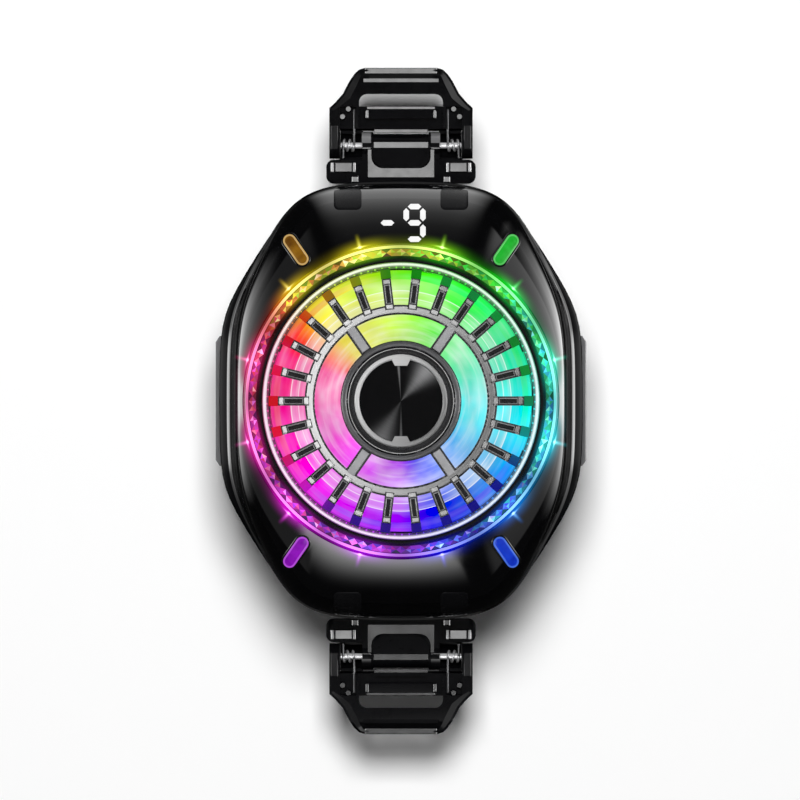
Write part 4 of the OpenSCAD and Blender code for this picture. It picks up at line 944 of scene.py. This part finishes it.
def flank_strip(z_low, z_high):
    """Raised facet along one flank of the jaw, tilted outwards, narrow at both ends."""
    line = []
    for along, over in FLANK:
        x = JAW_HALF - along * (JAW_HALF - JAW_TIP)
        y = JAW_CORNER + over * (JAW_L - JAW_CORNER)
        line.append((x, y, math.sin(math.pi * (0.12 + 0.76 * over))))
    points = []
    for x, y, wide in line:
        outer, inner = (x - 0.3, y - 0.25), (x - 0.3 - 0.95 * wide, y - 0.25 - 0.5 * wide)
        points += [(*outer, FLANK_FOOT_Z), (*outer, z_low), (*inner, z_low + (z_high - z_low) * wide),
                   (*inner, FLANK_FOOT_Z)]
    return [(x, HINGE_Y + y, z) for x, y, z in points], capped_faces(len(line), 4)


def about_pin(x, r, t):
    return (x, HINGE_Y + r * math.cos(t), PIN_Z + r * math.sin(t))


def sleeve(x0, x1, r0, r1, start, end, steps=8):
    """Polished band on a knuckle, over part of a turn about the hinge pin."""
    points = []
    for k in range(steps + 1):
        t = math.radians(start + (end - start) * k / steps)
        points += [about_pin(x, r, t) for x, r in corners(x0, x1, r0, r1)]
    return points, capped_faces(steps + 1, 4)


def ear_boss(x0, x1, r0, r1, n=32):
    """Thin round boss on the inside of an ear, about the hinge pin."""
    points = [about_pin(x, r, t) for x, r in corners(x0, x1, r0, r1) for t in angles(n)]
    return points, hoop_faces(4, n)


def clip_facets():
    """Facets on each clip; ridge and knuckle give the finish of those two, which differs between the clips: the top
    clip's knuckle band has a painted highlight, the bottom one's stays dark.
    """
    for body, flip, finish, ridge, knuckle in (("top_jaw", 1, "polished_black", 0, 3),
                                               ("bottom_jaw", -1, "polished_low", 3, 0)):
        arm, jaw = Pile(), Pile()
        for s in (-1, 1):
            def pair(near, far):
                return sorted((s * near, s * far))
            arm.add(slab(*pair(*PLATE_X), *PLATE_Y, *PLATE_Z), slot=2)
            for near, far in PLATE_EDGES_X:
                arm.add(slab(*pair(near, far), *PLATE_Y, *PLATE_Z), slot=1)
            arm.add(sleeve(*pair(*KNUCKLE_X), 2.1, 2.26, 20, 80), slot=knuckle)
            arm.add(slab(*pair(*KNUCKLE_X), -0.62, -0.3, 4.7, 5.13))
            arm.add(slab(*pair(7.0, 8.0), -6.0, -5.1, 4.9, 5.14))
            for x, y in JAW_STUDS:
                jaw.add(stud(s * x, y, 0.55, 3.4, 4.45))
            jaw.add(slab(*pair(5.3, 5.78), 4.45, 5.8, 4.9, 5.06))
            strip = flank_strip(*FLANK_Z)
            jaw.add(([(s * x, y, z) for x, y, z in strip[0]], strip[1]), slot=1)
            jaw.add(slab(*pair(10.3, 11.45), -0.6, 3.2, 4.7, 5.12), slot=2)
            jaw.add(ear_boss(*pair(9.87, 10.05), 0.55, 2.35), slot=2)
        arm.add(slab(-4.5, 4.5, -0.5, 0.6, 4.5, 4.86))
        arm.add(tongue_surround(4.5, 5.06))
        jaw.add(slab(-5.85, 5.85, 11.7, 12.66, 3.5, 4.0))
        jaw.add(slab(-6.2, 6.2, 10.25, 10.95, *RIDGE_Z), slot=ridge)
        jaw.add(slab(-5.6, 5.6, 5.86, 6.38, *RIDGE_Z))
        jaw.add(slab(-4.4, 4.4, 2.02, 2.66, 4.5, 4.64))
        for pile, rides, name, others in ((arm, "case", "arm", ["painted_highlight_grey", "polished_black", "sleeve_painted_highlight"]),
                                          (jaw, body, "jaw", ["polished_low", "clip_panel_sheen", "clip_black"])):
            points = [(x, flip * y, z) for x, y, z in pile.points]
            piece(body.replace("jaw", name) + "_facets", points, pile.faces, [finish] + others, body=rides,
                  slot="clip_black", face_slots=pile.slots)


clip_facets()

# ---- materials and softened edges of the CAD nodes that show as they are ----

SHARP, WELD_GAP = math.radians(32), 1e-6


def dress(names, material, bevel=0.0, segments=2):
    """Finish for CAD nodes, with softened edges where a bevel is given."""
    for name in names.split():
        obj = nodes[name]
        obj.data.materials.clear()
        obj.data.materials.append(LOOKS[material])
        obj.data.polygons.foreach_set("material_index", [0] * len(obj.data.polygons))
        if "custom_normal" in obj.data.attributes:
            obj.data.attributes.remove(obj.data.attributes["custom_normal"])
        obj.data.polygons.foreach_set("use_smooth", [True] * len(obj.data.polygons))
        weld = obj.modifiers.new("weld", "WELD")
        weld.merge_threshold = WELD_GAP
        if bevel:
            soft = obj.modifiers.new("soft_edges", "BEVEL")
            soft.width, soft.segments = bevel * MM, segments
            soft.limit_method, soft.angle_limit = "ANGLE", SHARP
            weighted = obj.modifiers.new("even_normals", "WEIGHTED_NORMAL")
            weighted.weight = 60
        else:
            split = obj.modifiers.new("sharp_edges", "EDGE_SPLIT")
            split.split_angle = SHARP


dress("mid_frame", "gloss_black_frame")
dress("rear_housing", "satin_black")
dress("top_arm bottom_arm top_jaw bottom_jaw", "clip_black", 0.14)
dress("power_key port_surround", "trim_grey", 0.15)
dress("case_screws arm_screws fan_screws sink_screws", "dark_steel")
dress("back_pad insulation_frame top_jaw_pad bottom_jaw_pad", "silicone")
dress("top_hinge_pin bottom_hinge_pin", "chrome", 0.12)
dress("usb_socket rotor_shaft stator_core", "steel")
# painted glow line of the ring's light on the bright ring
dress("bright_ring", "metal_painted_line")
# painted spill of the ring's light on the channel
dress("channel_ring", "channel_painted_spill")
# painted highlight line on the dark hub trim
dress("hub_trim", "trim_painted_highlight")
dress("hub_bezel", "bezel_silver", 0.06)
dress("hub_disc", "spun_black", 0.08)
dress("fan_grille", "grille_dark", 0.08, 1)
# painted glow of the ring's light on the impeller, the fan frame and the heatsink
dress("impeller", "frosted_painted_glow")
dress("fan_frame heatsink", "fin_painted_glow")
dress("cold_plate", "aluminium", 0.15)
dress("rotor_magnet peltier_pellets", "magnet_grey")
dress("shaft_bearing", "bronze")
dress("stator_coils", "copper")
dress("peltier_plates", "white_ceramic")
dress("control_board key_board led_board display_board", "board_green")
dress("board_chips key_switch", "chip_black")
dress("led_chips", "led_white")

# ---- stage, light and camera ----

FLOOR_Z, FLOOR_HALF, FLOOR_T = -0.0125, 3.0, 0.01
PLINTH_HALF, PLINTH_TOP = 0.014, -0.0001
AHEAD, AMBIENT = (90, 12, 28), 0.05


def lobe(way, faces, narrow, wide):
    """One towards an angle in degrees, seen from above, out to a narrow width at both sides, and nothing beyond a
    wide one."""
    level = vector("NORMALIZE", "Vector", vector("MULTIPLY", "Vector", way, (1, 1, 0)))
    toward = vector("DOT_PRODUCT", "Value", level, polar(1, math.radians(faces), 0))
    off = calc("ARCCOSINE", toward)
    return remap(off, math.radians(narrow), math.radians(wide), 1.0, 0.0, smooth=True)


def side_panels(way):
    """Light panels that the gloss sees low at the right and, dimmer, at the left."""
    right = product(lobe(way, 7, 0, 40), 12.0)
    return total(right, product(lobe(way, 174, 0, 35), 9.0))


def stage_material(name, level, lift):
    """Pale matt surface, a little lifted for the camera; the gloss sees it dark near the object and lit by the panels
    further out."""
    tree, bsdf = blank(name)
    drift = tint(noise(tree, 6.0), level * 0.99, level)
    path = tree.nodes.new("ShaderNodeLightPath")
    glossy = path.outputs["Is Glossy Ray"]
    where = source(tree, "ShaderNodeNewGeometry", "Position")
    out = vector("LENGTH", "Value", where)
    sides = product(side_panels(where), remap(out, 0.06, 0.1, smooth=True))
    ahead = product(lobe(where, *AHEAD), remap(out, 0.045, 0.075, 0.0, 2.5, smooth=True))
    mirrored = product(glossy, total(sides, ahead))
    lifted = product(path.outputs["Is Camera Ray"], lift)
    feed(bsdf, {"Base Color": blend_colour(glossy, drift, (0.01, 0.01, 0.01, 1)),
                "Emission Color": (1, 1, 1, 1), "Emission Strength": total(lifted, mirrored),
                "Roughness": 0.9, "Specular IOR Level": 0.0})
    LOOKS[name].cycles.emission_sampling = "NONE"


def stage_block(name, half, z0, z1):
    mesh = bpy.data.meshes.new(name)
    points = [(x, y, z) for z in (z0, z1) for x, y in rectangle(-half, half, half)]
    mesh.from_pydata(points, [], capped_faces(2, 4))
    mesh.materials.append(LOOKS["floor_white"])
    obj = put(name, mesh)


stage_material("floor_white", 0.96, 0.01)
stage_block("floor", FLOOR_HALF, FLOOR_Z - FLOOR_T, FLOOR_Z)
stage_block("plinth", PLINTH_HALF, FLOOR_Z, PLINTH_TOP)

# Large soft lamp for light and shade; the gloss sees the studio round it instead
LAMP_AT, LAMP_SIZE, LAMP_POWER, LAMP_AIM = (0.0, 0.36, 1.22), 0.42, 17.4, (0, 0, 0.01)
lamp = bpy.data.lights.new("key_top", "AREA")
lamp.shape, lamp.size, lamp.size_y, lamp.energy = "RECTANGLE", LAMP_SIZE, LAMP_SIZE, LAMP_POWER
lamp_obj = put("key_top", lamp)
lamp_obj.location = LAMP_AT
lamp_obj.rotation_euler = (Vector(LAMP_AIM) - Vector(LAMP_AT)).to_track_quat("-Z", "Y").to_euler()
lamp_obj.visible_glossy = False


def studio():
    """World: even grey for matt surfaces, and for gloss a dark room with panels ahead, behind and at both sides."""
    world = bpy.data.worlds.new("studio")
    scene.world = world
    world.use_nodes = True
    tree = world.node_tree
    way = source(tree, "ShaderNodeTexCoord", "Generated")
    split = node("ShaderNodeSeparateXYZ", {0: way})
    x, y, z = (split.outputs[k] for k in "XYZ")

    def between(value, low, high, soft):
        rise = remap(value, low - soft, low, smooth=True)
        return product(rise, remap(value, high, high + soft, 1.0, 0.0, smooth=True))

    sides = product(side_panels(way), ramp(z, [(0.0, 1.0), (0.68, 0.3), (0.8, 0.2), (0.95, 0.0)]))
    strips = total(lobe(way, 0, 3, 10), lobe(way, 180, 3, 10))
    tall = product(strips, between(z, 0.0, 0.88, 0.06), 10.0)
    fade_ahead = ramp(z, [(0.0, 0.95), (0.17, 0.75), (0.5, 0.32), (0.77, 0.11), (1.0, 0.02)])
    ahead = product(lobe(way, *AHEAD), fade_ahead, 2.2)
    fade_behind = calc("POWER", calc("MAXIMUM", z, 0.0), 8.5)
    behind = product(lobe(way, 259, 28, 30.5), fade_behind, between(z, 0.0, 0.988, 0.006), 8.0)
    band = between(z, 0.47, 0.93, 0.05)
    soft_right = product(lobe(way, 0, 46, 56), band, calc("MULTIPLY_ADD", y, 0.8, 0.9))
    soft_left = product(lobe(way, 180, 46, 56), band, 0.25)
    # two small cards near the zenith, which the flat facets of the clips mirror
    cards = product(between(calc("ABSOLUTE", y), 0.0125, 0.03, 0.0015),
                    between(calc("ABSOLUTE", x), 0.0, 0.012, 0.004), between(z, 0.9, 1.0, 0.05), 10.0)
    gloss = total(sides, tall, ahead, behind, soft_right, soft_left, cards, 0.02)
    path = tree.nodes.new("ShaderNodeLightPath")
    seen = calc("MAXIMUM", path.outputs["Is Camera Ray"], AMBIENT)
    level = node("ShaderNodeMix", {0: path.outputs["Is Glossy Ray"], 2: seen, 3: gloss}).outputs[0]
    feed(tree.nodes["Background"], {"Color": (1, 1, 1, 1), "Strength": level})


studio()

FIELD, SENSOR, FOCAL, LOOK_AT = 0.1301, 36.0, 600.0, (-0.00016, 0.00016, 0.014)
camera = bpy.data.cameras.new("photo_view")
camera.sensor_width, camera.lens = SENSOR, FOCAL
camera_obj = put("photo_view", camera)
distance = FIELD * FOCAL / SENSOR
camera_obj.location = (LOOK_AT[0], LOOK_AT[1], LOOK_AT[2] + distance)
scene.camera = camera_obj

scene.view_settings.view_transform = "Standard"
